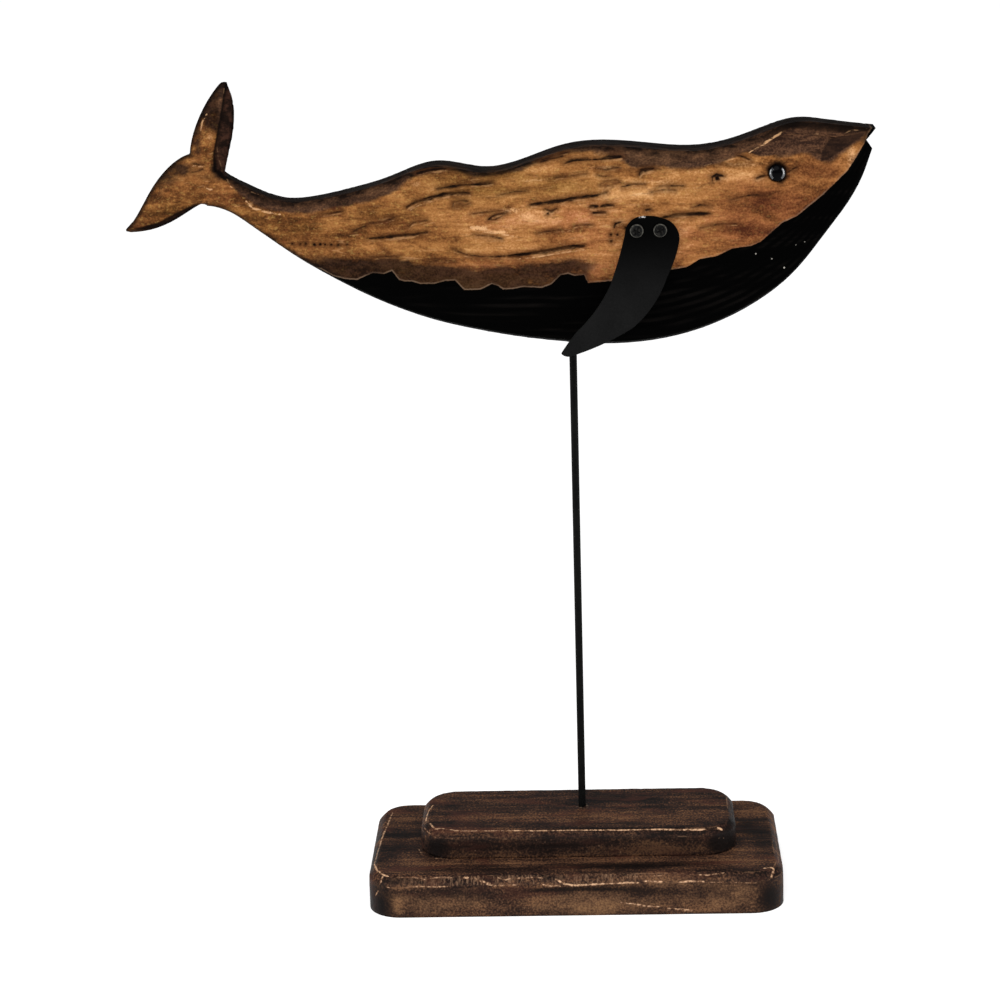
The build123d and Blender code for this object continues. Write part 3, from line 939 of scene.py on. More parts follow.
    def carve_cuts(self):
        """The long cuts, the small holes and the places of the pale specks."""
        on_face = self.facing > CUT_LEAN
        for line, width, deep in self.cuts:
            near = beside(self.marks, line, 3)
            near = near[on_face[near]]
            away, where = along_line(self.marks[near], line)
            half = half_width(width, where, 0.35)
            faint = FAINT * (1 - deep)
            self.depth[near] += deep * np.clip(1 - away / (half + 0.35), 0, 1)
            self.slit[near] = np.maximum(self.slit[near], half - away - faint)
            # Painted highlight: a pale lip just below each cut, where its lower edge catches light
            beneath, _ = along_line(self.marks[near] + (0, 0.5 + width / 2), line)
            self.lip_highlight[near] = np.maximum(self.lip_highlight[near], half - beneath - faint)
        for place, radius in self.holes:
            away = np.hypot(*(self.marks - place).T)
            near = (away < 3) & on_face
            self.depth[near] += np.clip(1 - away[near] / (radius + 0.4), 0, 1)
            self.slit[near] = np.maximum(self.slit[near], radius - away[near])
        for place, radius in self.specks:
            away = np.hypot(*(self.marks - place).T)
            self.chip = np.maximum(self.chip, np.where(on_face, radius - away, -2.0))

    def carve_belly(self):
        """The black belly lies a little lower and is ribbed along its length."""
        x, z = self.points[:, 0], self.points[:, 2]
        low = np.interp(x, *self.belly_profile())
        lane = np.where(x > RIB_TURN[0], z - low * smooth_step(x, *RIB_TURN), z + 0.02 * x)
        lane = lane + 0.5 * cell_noise(self.points / RIB_CELLS, 31)
        ribs = 0.5 - 0.5 * np.cos(2 * math.pi * lane / RIB_SPACING)
        black = smooth_step(self.ink, -0.1, 0.7)
        self.rib = black * ribs
        self.depth += black * (0.45 + 0.42 * ribs) * self.facing * smooth_step(self.rim, 0.4, 3.5)

    def belly_profile(self):
        """The belly's lowest line: height against place along the whale."""
        steps = np.arange(*BELLY_STEPS)
        lows = []
        for x in steps:
            near = np.abs(self.points[:, 0] - x) < 3
            lows.append(self.points[near, 2].min() if near.any() else 0)
        return steps, np.array(lows)

    def carve_head(self):
        """Flat panels above the brown wood, deepest at their top edge, and the upper lobe's hollow."""
        x, z = self.sides.T
        lift = np.clip(z - np.interp(x, *self.back_line.T), 0, None)
        for panel, slope, most in PANELS:
            within = smooth_step(self.within(panel), -1.2, 0.6)
            self.depth += self.facing * within * np.minimum(slope * lift, most)
        hollow = self.within(UPPER_BEVEL)
        edge = smooth_step(hollow, -0.3, 0.9)
        self.depth += self.facing * HOLLOW_DEPTH * edge * (1 - smooth_step(hollow, *HOLLOW_MIDDLE))

    def carved_points(self):
        """The points after the carving, with flat seats for the eyes and the flippers."""
        points = self.points - self.normals * self.depth[:, None]
        seat = self.from_eye(self.points) < SEAT_FLAT
        points[seat, 1] = np.sign(self.points[seat, 1]) * self.eye_floor
        for name in ("right_flipper", "left_flipper"):
            low, high = in_mm(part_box(name), WHALE_PLACE)
            inner = low[1] if low[1] > 0 else high[1]
            most = abs(inner) - FLIPPER_GAP
            points[points[:, 1] * np.sign(inner) > most, 1] = np.sign(inner) * most
        return np.clip(points, self.shell[0].min(0), self.shell[0].max(0))

    def patches(self, table):
        """How much of some soft patches lies on each point, from 0 to 1."""
        total = np.zeros(len(self.points))
        for px, py, wide, high, weight in table:
            away = (self.sides - self.seen(px, py)) * PIXELS_PER_MM / (wide, high)
            total += weight * np.exp(-(away ** 2).sum(1))
        return np.clip(total, 0, 1)

    def tones(self):
        """The numbers that the wood's material reads at each point."""
        shade_x = [self.seen(px, SHADE_ROW)[0] for px, _ in SHADE_ALONG]
        shade = np.interp(self.sides[:, 0], shade_x, [weight for _, weight in SHADE_ALONG])
        shade = shade * np.exp(-np.clip(-self.ink, 0, None) / 5.0)
        snout = self.within(SNOUT_PANEL)
        head_start = [self.seen(px, HEAD_ROW)[0] for px in HEAD_START]
        soft = {name: self.patches(rows) for name, rows in SOFT_PATCHES.items()}
        return soft | dict(
            ink=np.clip(self.ink, -12, 12), crown=np.clip(self.crown, -12, 12), rim=np.clip(self.rim, 0, 25),
            slit=self.slit, lip_highlight=self.lip_highlight, chip=self.chip, rib=self.rib,
            rub=rub_marks(self.marks, self.rubs) * self.facing,
            shade=np.clip(shade + self.patches(SMOKE), 0, 1.2), across=-self.points[:, 1] / PLANK_HALF,
            rough_cut=1 - 0.85 * smooth_step(self.sides[:, 0], *head_start),
            bevel=np.clip(np.maximum(self.within(UPPER_BEVEL), self.within(LOWER_BEVEL)), -4, 4),
            panel=np.clip(np.maximum(self.within(HEAD_PANEL), snout), -4, 4), snout=np.clip(snout, -4, 4),
        )


def tips_restored(points, shell, reach=5.0):
    """Draws the tips of the two fluke lobes out again to where the shell has them."""
    for axis, pick in ((0, np.argmin), (2, np.argmax)):
        tip = shell[pick(shell[:, axis])]
        blunt = points[pick(points[:, axis])]
        away = np.hypot(points[:, 0] - blunt[0], points[:, 2] - blunt[2])
        pull = np.exp(-(away / reach) ** 2)[:, None]
        points = points + pull * ((tip - blunt) * (1, 0, 1))
    return points


def whale_body_object():
    """The carved body with its drilled socket."""
    whale = Whale()
    whale.carve()
    body = make_object("carved_whale", whale.carved_points() + WHALE_PLACE, whale.tris)
    set_values(body, **whale.tones())
    middle = WHALE_PLACE + (0, 0, DRILL_HEIGHT)
    cut_away(body, make_object("drill", *cylinder_shell(middle, 2, *DRILL, DRILL_SIDES)))
    body.data.shade_smooth()
    body.data.materials.clear()
    body.data.materials.append(WhaleWood().painted())
    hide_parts("whale_body")
    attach(body, "whale")


class WhaleWood(Paint):
    """Golden-brown stained wood with burnt edges over a black painted belly."""

    def __init__(self):
        super().__init__("carved_wood")
        self.lean = math.radians(5)
        self.patch = self.noise((75, 130, 160), 4, 0.6, self.lean, 0.8)
        self.streak = self.noise((60, 200, 330), 4, 0.62, self.lean, 0.8)
        self.grit = self.noise((1000, 1000, 1100), 2, 0.6)
        self.cloud = self.noise((150, 250, 260), 4, 0.65, self.lean)
        self.rough_cut = self.value("rough_cut")
        ragged = self.total((0.55, self.noise((110, 220, 220), 4, 0.7, 0.0, 0.6)), (0.45, self.patch))
        self.wander = self.plus(self.times(ragged, 6.5), -3.25)

    def painted(self):
        """All coats in order, and the finished material."""
        self.stain()
        self.add_fibres()
        self.add_smoke()
        self.burn_back()
        self.darken_bevels()
        self.add_cuts()
        black = self.add_belly()
        fine = self.noise((260, 900, 1300), 3, 0.6, self.lean)
        height = self.total((0.45, self.streak), (0.3, fine), (0.15, self.grit), (0.1, self.patch))
        self.bump(height, 0.0012, 0.6)
        rough = self.plus(self.band(self.streak, 0.35, 0.7, 0.46, 0.62), self.times(black, 0.06))
        return self.finish(rough, Specular_IOR_Level=0.01)

    def stain(self):
        """The brown stain, rosier and greener in places, coarse on the side and even on the head."""
        broad = self.noise((16, 60, 75), 3, 0.6, self.lean, 0.6)
        sweep = self.noise((14, 60, 90), 3, 0.55, math.radians(-28), 0.4)
        carved = self.total((0.36, broad), (0.26, self.patch), (0.2, self.streak), (0.18, self.grit))
        planed = self.total((0.4, sweep), (0.32, self.patch), (0.06, self.streak), (0.22, self.grit))
        self.smooth_cut = self.math("SUBTRACT", 1.0, self.rough_cut)
        tone = self.plus(self.times(carved, self.rough_cut), self.times(planed, self.smooth_cut))
        tone = self.plus(self.times(tone, 1.15), -0.075)
        tone = self.total((1.0, tone), (0.076, self.value("pale")), (-0.092, self.value("dim")))
        self.tone = self.ramp(
            tone, (0.34, 58, 34, 18), (0.42, 100, 61, 32), (0.49, 140, 91, 49),
            (0.56, 170, 116, 66), (0.64, 204, 150, 96), (0.74, 232, 188, 138))
        rosy = self.ramp(
            tone, (0.34, 70, 36, 22), (0.42, 112, 65, 38), (0.49, 146, 90, 53),
            (0.56, 174, 112, 70), (0.66, 214, 154, 110))
        green = self.ramp(
            tone, (0.34, 42, 28, 12), (0.44, 90, 61, 28), (0.52, 130, 92, 44), (0.64, 176, 134, 76))
        mottle = self.band(self.noise((60, 120, 130), 3, 0.6, self.lean), 0.36, 0.6)
        mottle = self.plus(self.times(mottle, 0.6), 0.4)
        self.coat(rosy, self.value("rose"), mottle)
        self.coat(green, self.value("olive"), mottle)

    def add_fibres(self):
        """Dark strokes and fibres, light ones, flecks and bright patches, fewer of them on the head."""
        stroke = self.band(self.noise((70, 200, 380), 3, 0.55, self.lean, 1.4), 0.58, 0.7)
        self.coat((70, 43, 24), stroke, self.total((0.42, self.rough_cut), (0.08, self.smooth_cut)))
        fibre = self.band(self.noise((150, 420, 900), 2, 0.5, self.lean, 0.8), 0.62, 0.7)
        self.coat((60, 34, 19), fibre, self.rough_cut, 0.33)
        gleam = self.band(self.noise((80, 220, 420), 3, 0.55, self.lean, 1.0), 0.62, 0.74)
        self.coat((218, 164, 110), gleam, self.rough_cut, 0.34)
        yellow = self.band(self.noise((520, 620, 700), 2, 0.6), 0.55, 0.72)
        self.coat((206, 164, 92), yellow, self.plus(self.times(self.rough_cut, 0.2), 0.06))
        reddish = self.band(self.noise((430, 500, 560), 2, 0.6), 0.56, 0.72)
        self.coat((112, 56, 36), reddish, self.plus(self.times(self.rough_cut, 0.2), 0.08))
        glow = self.band(self.total((0.5, self.patch), (0.5, self.grit)), 0.38, 0.58, 0.35, 1.0)
        self.coat((234, 182, 130), self.band(self.times(self.value("bright"), glow), 0.1, 0.7), 0.8)

    def add_smoke(self):
        """Smoky stain above the belly, dark stains round knots, and painted shade round cuts."""
        haze = self.times(self.value("shade"), self.band(self.cloud, 0.28, 0.6, 0.6, 1.0))
        thick = self.band(self.total((0.6, self.cloud), (0.4, self.grit)), 0.4, 0.62)
        self.coat(self.mix(thick, (16, 11, 9), (49, 33, 25)), self.band(haze, 0.08, 0.9), 0.92)
        # Dark patches: stains round knots, and painted shade round cuts
        blot_and_shade = self.times(self.value("blot_and_shade"), self.band(self.cloud, 0.36, 0.6, 0.45, 1.0))
        self.coat((58, 34, 18), self.band(blot_and_shade, 0.15, 0.85), 0.75)

    def burn_back(self):
        """The burnt back and rims, with a ragged lower edge and a near edge rubbed to a mottled brown."""
        back = self.band(self.plus(self.value("crown"), self.wander), -1.2, 1.2)
        umber = self.ramp(
            self.total((0.45, self.cloud), (0.25, self.streak), (0.3, self.grit)),
            (0.38, 30, 21, 18), (0.48, 60, 42, 32), (0.56, 86, 60, 44), (0.66, 122, 86, 60))
        self.coat(umber, back, 0.94)
        edge = self.plus(self.value("rim"), self.times(self.wander, 0.35))
        wear_and_glint = self.times(
            self.band(self.value("across"), -0.25, 0.75), self.band(self.cloud, 0.36, 0.58, 0.25, 1.0),
            back, self.band(self.value("panel"), -2.5, -0.8, 1.0, 0.0))
        left_dark = self.band(wear_and_glint, 0.0, 1.0, 1.0, 0.38)
        self.coat((14, 10, 9), back, self.band(edge, 0.6, 3.2, 1.0, 0.0), 0.8, left_dark)
        self.coat((15, 10, 8), self.band(edge, 0.3, 2.8, 1.0, 0.0), 0.92, left_dark)

    def blurred(self, name, wander, low, high):
        """Where a signed distance is over a level, along a wandering edge."""
        return self.band(self.total((1.0, self.value(name)), (wander, self.wander)), low, high)

    def darken_bevels(self):
        """The dark bevels of the flukes, black along their edges as a painted shadow in the crease, and the
        dark panels on the head.
        """
        bevel_tone = self.mix(self.band(self.cloud, 0.4, 0.62), (24, 16, 13), (64, 41, 32))
        # Painted shadow: near black along the bevel's edges, where the crease lies in shade
        bevel_tone = self.mix(self.blurred("bevel", 0.4, 0.8, 2.6), (13, 9, 8), bevel_tone)
        self.coat(bevel_tone, self.blurred("bevel", 0.25, -0.6, 0.6), 0.93)
        grain = self.total((0.5, self.streak), (0.2, self.patch), (0.3, self.grit))
        face = self.mix(self.band(grain, 0.42, 0.6), (44, 29, 23), (98, 68, 49))
        self.coat(face, self.blurred("panel", 0.12, -0.2, 0.6), 0.92)
        self.coat((28, 19, 16), self.blurred("snout", 0.12, -0.2, 0.8), 0.78)

    def add_cuts(self):
        """Cuts of uneven width, each in a soft shadow, with a painted highlight along its lower lip, and
        light lines: painted highlights on ridges and edges, and rubbed light wood.
        """
        short, long = self.noise((420, 700, 700), 3, 0.7), self.noise((150, 260, 260), 2, 0.6)
        jitter = self.plus(self.total((1.2, short), (1.6, long)), -1.4)
        slit = self.plus(self.value("slit"), jitter)
        lip_highlight = self.plus(self.value("lip_highlight"), jitter)
        uneven = self.noise((110, 240, 240), 3, 0.65)
        self.coat((72, 42, 23), self.band(slit, -2.8, 0.1, 0.0, 0.6))
        # Painted highlight along the lower lip of each cut
        self.coat((206, 154, 104), self.band(lip_highlight, -0.3, 0.25), self.band(uneven, 0.44, 0.62, 0.0, 0.42))
        self.coat((19, 11, 8), self.band(slit, -0.48, 0.42), self.band(uneven, 0.64, 0.44, 0.62, 0.97))
        # Light lines: painted highlights on ridges and edges, and rubbed light wood
        short, long = self.noise((420, 600, 600), 3, 0.7), self.noise((160, 260, 260), 2, 0.6)
        wear_and_glint = self.total((0.6, short), (0.4, long))
        rub = self.times(self.value("rub"), self.band(wear_and_glint, 0.4, 0.56, 0.3, 1.0))
        self.coat((214, 166, 120), self.band(rub, 0.3, 0.85), 0.78)

    def add_belly(self):
        """The painted belly, the raw edge above it and its pale specks. Returns where it is black."""
        ink = self.plus(self.value("ink"), self.times(self.plus(self.noise(700, 3, 0.6), -0.5), 0.6))
        raw = self.times(self.band(ink, -0.8, -0.4), self.band(self.noise(90, 2), 0.38, 0.58, 0.3, 1.0))
        self.coat((132, 108, 88), raw, 0.48)
        uneven = self.band(self.noise((10, 50, 70), 3, 0.6, 0.0, 0.8), 0.48, 0.7)
        lit = self.times(self.band(self.value("rib"), 0.72, 0.12), uneven)
        black = self.band(ink, -0.15, 0.1)
        self.coat(self.mix(lit, (1, 1, 1), (13, 11, 10)), black)
        self.coat((190, 184, 174), self.band(self.value("chip"), -0.15, 0.1), 0.8)
        return black


# Base boards

# Rubbed lines by their points in the photograph, with width in millimetres and strength
PLATE_RUBS = (
    (((392.5, 812.5), (386, 828), (380, 842.5), (374, 864)), 0.9, 0.75),
    (((374, 864), (377, 870), (383, 874.5), (388, 876)), 1.1, 1.0),
    (((383, 875), (381, 881), (379, 884.5)), 0.9, 0.8),
    (((378, 891), (375, 896)), 0.6, 0.6),
    (((387, 887.5), (412, 887), (420, 886.5), (434, 887), (450, 886.5)), 0.8, 0.7),
    (((396, 876.5), (414, 877), (424, 879.5), (436, 877.5), (452, 877.5)), 0.7, 0.6),
    (((463, 877.5), (468, 877.5)), 0.9, 0.9),
    (((474, 877.5), (478, 880), (484, 882), (492, 885), (496, 886)), 1.6, 0.75),
    (((498, 877.5), (505, 880), (512, 878), (526, 878), (534, 877), (542, 878)), 0.7, 0.6),
    (((500, 886), (508, 885), (516, 885)), 1.0, 0.6),
    (((543, 884.5), (550, 886), (560, 886.5)), 1.0, 0.95),
    (((556, 879), (560, 881.5), (565, 884), (572, 885.5), (585, 885), (600, 884), (612, 883.5)), 1.1, 1.0),
    (((612, 883.5), (626, 882.5), (638, 882.5)), 1.0, 0.9),
    (((643, 881), (652, 881.5), (662, 881.5)), 0.8, 0.9),
    (((680, 882), (690, 881), (704, 881.5)), 0.8, 0.85),
    (((705, 882), (728, 882.5), (745, 883), (757, 883)), 0.5, 0.5),
    (((620, 877.5), (640, 876.5), (668, 875)), 0.6, 0.5),
    (((690, 874.5), (700, 874.5), (708, 875), (716, 873.5), (724, 872.5)), 0.7, 0.65),
    (((764, 868), (770, 867), (774, 869), (773, 873), (771, 878)), 1.2, 0.9),
    (((774, 866), (779, 862), (780, 845), (773, 818)), 0.6, 0.45),
    (((620, 902.5), (634, 904), (648, 906.5), (660, 906.5)), 0.8, 0.8),
    (((668, 908.5), (680, 909), (692, 910.5)), 0.8, 0.75),
    (((418.8, 848.8), (422.5, 855), (432.5, 858), (447.5, 858.8)), 0.7, 0.6),
)
STEP_RUBS = (
    (((435, 828.8), (441, 828), (455, 830), (472.5, 830.5)), 0.8, 0.8),
    (((472, 830.5), (500, 830), (535, 830.3), (567, 829.8)), 0.6, 0.85),
    (((567, 829.8), (600, 829.5), (622, 829.8), (645, 829)), 0.7, 1.0),
    (((645, 829), (670, 829.3), (700, 829.5), (721, 829)), 1.0, 1.0),
    (((718, 827.5), (722, 829.5)), 1.3, 1.0),
    (((433, 805), (427.5, 812.5), (425.5, 820), (432.5, 826), (437, 829)), 1.0, 0.9),
    (((423.8, 827.5), (428, 832), (435, 837.5), (452.5, 838.8)), 0.6, 0.5),
    (((727.5, 797.5), (732.5, 817.5), (726, 824)), 0.5, 0.35),
)
# Soft lighter and darker patches: middle, half width, half height in pixels, weight
PLATE_GLOW = (
    (396, 906, 6, 9, 1.0), (450, 905, 20, 8, 0.5), (420, 908, 20, 8, 0.4), (560, 901, 60, 10, 0.6),
    (600, 909, 40, 6, 0.5), (730, 900, 28, 10, 0.8), (650, 907, 40, 6, 0.4), (415, 857, 25, 3, 0.8),
    (740, 848, 24, 5, 0.6), (402, 818, 14, 3, 0.7), (752, 812, 20, 4, 0.8), (480, 905, 16, 8, 0.3),
)
# Among the darker patches, the ones along the plate's front crease are a painted shadow below it
PLATE_DUSK = (
    (755, 828, 30, 14, 0.6), (764, 850, 14, 12, 0.5), (640, 864, 90, 3, 0.4), (381, 905, 5, 13, 1.0),
    (371, 900, 5, 16, 0.7), (525, 893, 30, 6, 0.4), (585, 889, 45, 3, 1.0), (556, 890, 24, 2.5, 0.8),
    (650, 892, 50, 6, 0.7), (772, 898, 12, 16, 1.0), (470, 893, 40, 4, 0.5), (400, 842, 12, 8, 0.6),
    (600, 866, 160, 4, 0.5), (745, 826, 12, 8, 0.4), (400, 892, 30, 3, 0.5),
)
STEP_GLOW = (
    (460, 808, 44, 3, 1.0), (520, 797, 40, 4, 0.5), (610, 813, 50, 4, 0.4), (690, 797, 34, 5, 0.7),
    (655, 821, 40, 3, 0.5), (655, 843, 22, 4, 0.8), (455, 837, 16, 3, 0.5), (560, 820, 40, 3, 0.3),
)
STEP_DUSK = (
    (436, 846, 14, 9, 1.0), (720, 843, 18, 10, 1.0), (560, 846, 60, 6, 0.4), (460, 822, 40, 4, 0.5),
    (590, 800, 26, 5, 0.5), (733, 832, 6, 16, 1.0), (733, 812, 7, 14, 1.0), (726, 838, 14, 12, 1.0),
    (500, 846, 40, 6, 0.4), (640, 800, 20, 3, 0.3),
)
# The stretch of a board's front crease that keeps its saw marks, in metres along X
SAWN_START = -0.075
SAWN_END = 0.02
SAWN_FADE = 0.02
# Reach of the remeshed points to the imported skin, and the edges that stay sharp, in degrees
BOARD_SKIN = 2.0
BOARD_SHARP = 60
BOARD_SHARP_REACH = 0.75
# Dents in a board: how many, the share of them on its top, and their reach and depth
DENTS = 26
DENTS_ON_TOP = 0.6
DENT_REACH = (0.8, 2.4)
DENT_DEPTH = (0.1, 0.3)
# Height of the underside's edge, which isn't worn, and the distance given where a board has no hole
UNDERSIDE = 0.3
FAR_FROM_HOLE = 50.0


class Board:
    """A bevelled board of the base: its packed shell and the rubbed lines on it."""

    def __init__(self, node, corner, bevel, rubs):
        self.low, self.high = in_mm(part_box(node))
        self.centre, self.half = (self.low + self.high) / 2, (self.high - self.low) / 2
        self.corner, self.bevel = corner, bevel
        self.shell = node_shell(node)
        self.tree = face_tree(*self.shell)
        self.lines = []
        for row, width, strength in rubs:
            met = [self.cast(*pixel) for pixel in row]
            places = [m[0] for m in met if m]
            if len(places) > 1:
                self.lines.append((np.array(places), width, strength))

    def cast(self, px, py):
        """The place and the facing of the board where the camera meets it."""
        place, facing = self.tree.ray_cast(CAMERA_PLACE / MM, sight(px, py))[:2]
        return (np.array(place), np.array(facing)) if place else None

    def patches(self, p, rows):
        """How much of some soft patches lies on each point, from 0 to 1."""
        total = np.zeros(len(p))
        for px, py, wide, tall, weight in rows:
            met = self.cast(px, py)
            if met:
                place, facing = met
                across, along = wide / PIXELS_PER_MM, tall / PIXELS_PER_MM
                reach = (across, along / 0.3, 4.0) if facing[2] > 0.5 else (across, 8.0, along)
                total += weight * np.exp(-(((p - place) / reach) ** 2).sum(1))
        return np.clip(total, 0, 1)

    def creases(self, p):
        """Distances from the upper and the lower edge of the bevel, round the outline."""
        q = np.abs(p[:, :2] - self.centre[:2]) - (self.half[:2] - self.corner)
        outside = np.linalg.norm(np.maximum(q, 0), axis=1) + np.minimum(q.max(1), 0)
        inset = self.corner - outside
        upper = np.hypot(inset - self.bevel, p[:, 2] - self.high[2])
        lower = np.hypot(inset, p[:, 2] - (self.high[2] - self.bevel))
        return upper, lower

    def by_front_crease(self, middles, lengths):
        front = middles[:, 1] < self.centre[1]
        return (lengths > 0.75) & (np.minimum(*self.creases(middles)) < 1.6) & front

    def even_mesh(self, voxel):
        """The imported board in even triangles, finer along its front creases and the rubbed lines."""
        points, tris = remeshed([self.shell], voxel)
        points = laid_on(points, self.tree, BOARD_SKIN)
        sharp = sharp_places(*self.shell, BOARD_SHARP)
        points, tris = edges_restored(points, tris, sharp, BOARD_SHARP_REACH * voxel)
        points, tris = refined(points, tris, self.by_front_crease)
        lines = [line for line, _, _ in self.lines]
        for least in (0.7, 0.5):
            points, tris = refined(points, tris, lambda m, s: (s > least) & near_lines(m, lines, 1.3))
        return points, tris

    def wear(self, points, seed, rub):
        """Depth of the wear: creases rounder in some places than in others, grain, dents and rubs."""
        upper, lower = self.creases(points)
        wear_and_glint = 0.5 + 0.5 * cell_noise(points / 7.0, seed)
        fine = cell_noise(points / 1.6, seed + 1)
        depth = 0.22 * wear_and_glint * np.exp(-(upper / 1.3) ** 2) + 0.22 * wear_and_glint * np.exp(-(lower / 1.3) ** 2)
        depth += 0.05 * (1 + fine) * np.exp(-(np.minimum(upper, lower) / 2.5) ** 2)
        depth += 0.04 * (1 + cell_noise(points / (30.0, 6.0, 4.0), seed + 2))
        depth += 0.03 * (1 + cell_noise(points / (9.0, 1.4, 1.2), seed + 3))
        draw = np.random.default_rng(seed + 4)
        for _ in range(DENTS):
            spot = self.low + draw.random(3) * (self.high - self.low)
            spot[2] = self.high[2] if draw.random() < DENTS_ON_TOP else spot[2]
            reach = draw.uniform(*DENT_REACH)
            away = np.linalg.norm((points - spot) / (1.6, 1, 1), axis=1)
            depth += draw.uniform(*DENT_DEPTH) * np.clip(1 - away / reach, 0, 1) ** 2
        depth += 0.12 * rub
        depth[points[:, 2] < self.low[2] + UNDERSIDE] = 0
        return depth

    def front_corners(self, points):
        """Where the foot of the front's two corners lies, from 0 to 1."""
        beside = np.abs(points[:, 0] - self.centre[0])
        corner = smooth_step(beside, self.half[0] - self.corner, self.half[0] - 0.5 * self.corner)
        height = 2 * self.half[2]
        low = smooth_step(points[:, 2] - self.low[2], height, 0.5 * height)
        return corner * low * smooth_step(-points[:, 1], 0, self.half[1])


def board_object(name, node, corner, bevel, voxel, seed, ticks, holes, rubs, glow, dusk):
    """A bevelled board with rubbed edges, saw marks and dents."""
    board = Board(node, corner, bevel, rubs)
    points, tris = board.even_mesh(voxel)
    normals = point_normals(points, tris)
    rub = rub_marks(points, board.lines)
    depth = board.wear(points, seed, rub)
    upper, lower = board.creases(points)
    hole = np.full(len(points), FAR_FROM_HOLE)
    for x, y in holes:
        hole = np.minimum(hole, np.hypot(points[:, 0] - x, points[:, 1] - y))
    wall = np.maximum(-normals[:, 1], 0)
    piece = make_object(name, np.clip(points - normals * depth[:, None], board.low, board.high), tris)
    set_values(
        piece, upper=np.clip(upper, 0, 20), lower=np.clip(lower, 0, 20), hole=hole, rub=rub,
        glow=board.patches(points, glow), dusk=board.patches(points, dusk),
        front=smooth_step(wall, 0.5, 0.9), corner=board.front_corners(points),
        slope=smooth_step(normals[:, 2], 0.3, 0.5) * smooth_step(wall, 0.3, 0.5),
    )
    piece.data.materials.append(board_material(name, ticks))
    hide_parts(node)
    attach(piece, "stand")


def board_material(name, ticks):
    """Dark brown stain, streaked along the board and rubbed through at its edges."""
    p = Paint(name + "_stain")
    broad = p.noise((6, 60, 70), 4, 0.6, 0.0, 0.6)
    streak = p.noise((14, 200, 240), 4, 0.62, 0.0, 0.4)
    fine = p.noise((90, 900, 1000), 3, 0.6)
    cloud = p.noise((40, 80, 90), 4, 0.65)
    grit = p.noise(1000, 2, 0.6)
    front, glow, dusk = p.value("front"), p.value("glow"), p.value("dusk")
    tone = p.total((0.42, broad), (0.26, streak), (0.12, fine), (0.36, cloud), (0.52, grit))
    tone = p.plus(p.times(tone, 1.25), -0.57)
    tone = p.total((1.0, tone), (0.105, glow), (-0.07, dusk))
    p.tone = p.ramp(
        tone, (0.36, 16, 12, 11), (0.44, 38, 26, 22), (0.5, 60, 41, 33),
        (0.56, 84, 58, 43), (0.64, 122, 86, 60))
    red = p.band(p.noise((30, 90, 110), 3, 0.6, 0.0, 0.5), 0.5, 0.66)
    p.coat((82, 46, 36), red, 0.45)
    mottled = p.total((0.45, cloud), (0.25, p.noise((160, 220, 240), 4, 0.65)), (0.36, grit))
    mottled = p.total((1.0, p.plus(mottled, -0.05)), (0.1, glow), (-0.12, dusk))
    tan = p.ramp(mottled, (0.4, 40, 28, 23), (0.48, 76, 54, 40), (0.56, 108, 79, 57), (0.66, 146, 108, 74))
    p.coat(tan, front, p.band(p.noise((15, 40, 50), 3, 0.6, 0.0, 0.6), 0.38, 0.56, 0.35, 1.0), ticks)
    # Painted shade: the front faces darker, most on the step, where ticks is low
    p.coat((26, 18, 15), front, 1 - ticks, 0.72)
    p.coat((18, 13, 12), p.value("corner"), 0.75)
    # Darker patches, those below the plate's front crease a painted shadow
    p.coat((16, 12, 11), p.band(dusk, 0.35, 0.95), 0.8)
    # Edges rubbed through in a few places, with faint saw ticks between the front ones
    broken, longer = p.noise(260, 4, 0.72), p.noise(30, 2, 0.5)
    gaps = p.total((0.5, broken), (0.5, longer))
    for edge, low, share in (("upper", 0.53, 0.5), ("lower", 0.56, 0.3)):
        line = p.band(p.value(edge), 0.12, 0.6, 1.0, 0.0)
        p.coat((160, 122, 92), line, p.band(gaps, low, low + 0.07), share)
    sawn = p.between(p.along("X"), SAWN_START, SAWN_END, SAWN_FADE)
    sawn = p.times(sawn, p.band(longer, 0.38, 0.52, 0.4, 1.0))
    saw = p.band(p.noise((1100, 240, 240), 3, 0.6, 0.0, 0.3), 0.5, 0.62)
    p.coat((160, 124, 96), saw, sawn, p.value("slope"), 0.42 * ticks)
    chipped = p.total((0.6, p.noise(620, 3, 0.7)), (0.4, broken))
    rub = p.times(p.value("rub"), p.band(chipped, 0.42, 0.6, 0.36, 1.0))
    p.coat((118, 80, 56), p.band(rub, 0.04, 0.5), 0.4)
    p.coat((224, 180, 142), p.band(rub, 0.22, 0.85), 0.88)
    # Chips round the rod's hole and pale specks
    by_hole = p.band(p.value("hole"), 2.4, 4.0, 1.0, 0.0)
    p.coat((170, 146, 122), by_hole, p.band(p.noise(900, 2), 0.54, 0.6), 0.6)
    p.coat((140, 110, 86), p.band(p.noise(650, 2, 0.5), 0.72, 0.76), 0.4)
    p.bump(p.total((0.5, streak), (0.3, fine), (0.2, broken)), 0.0009, 0.6)
    return p.finish(p.band(tone, 0.35, 0.65, 0.45, 0.62), Specular_IOR_Level=0.05)


# Metal and glass

# The painted glint on a flipper's top edge, a highlight where the edge catches light: its share of the
# length, half its length, its fade and its depth
GLINT_PLACE = 0.69
GLINT_HALF = 1.2 * MM
GLINT_FADE = 0.6 * MM
GLINT_DEPTH = (0.9 * MM, 0.5 * MM)
# Shares of the bead's radius between which its shoulder carries the painted highlight
EYE_HIGHLIGHT_INNER = 0.62
EYE_HIGHLIGHT_OUTER = 0.9
# The painted highlights lie to the left and right, where the side lamps reflect: least share of the distance
# that is level
EYE_HIGHLIGHT_BESIDE = 0.66
# Height of the bead's rim, its sides round and its rows up to the top
EYE_RIM = 0.95
EYE_SIDES = 72
EYE_ROWS = 14
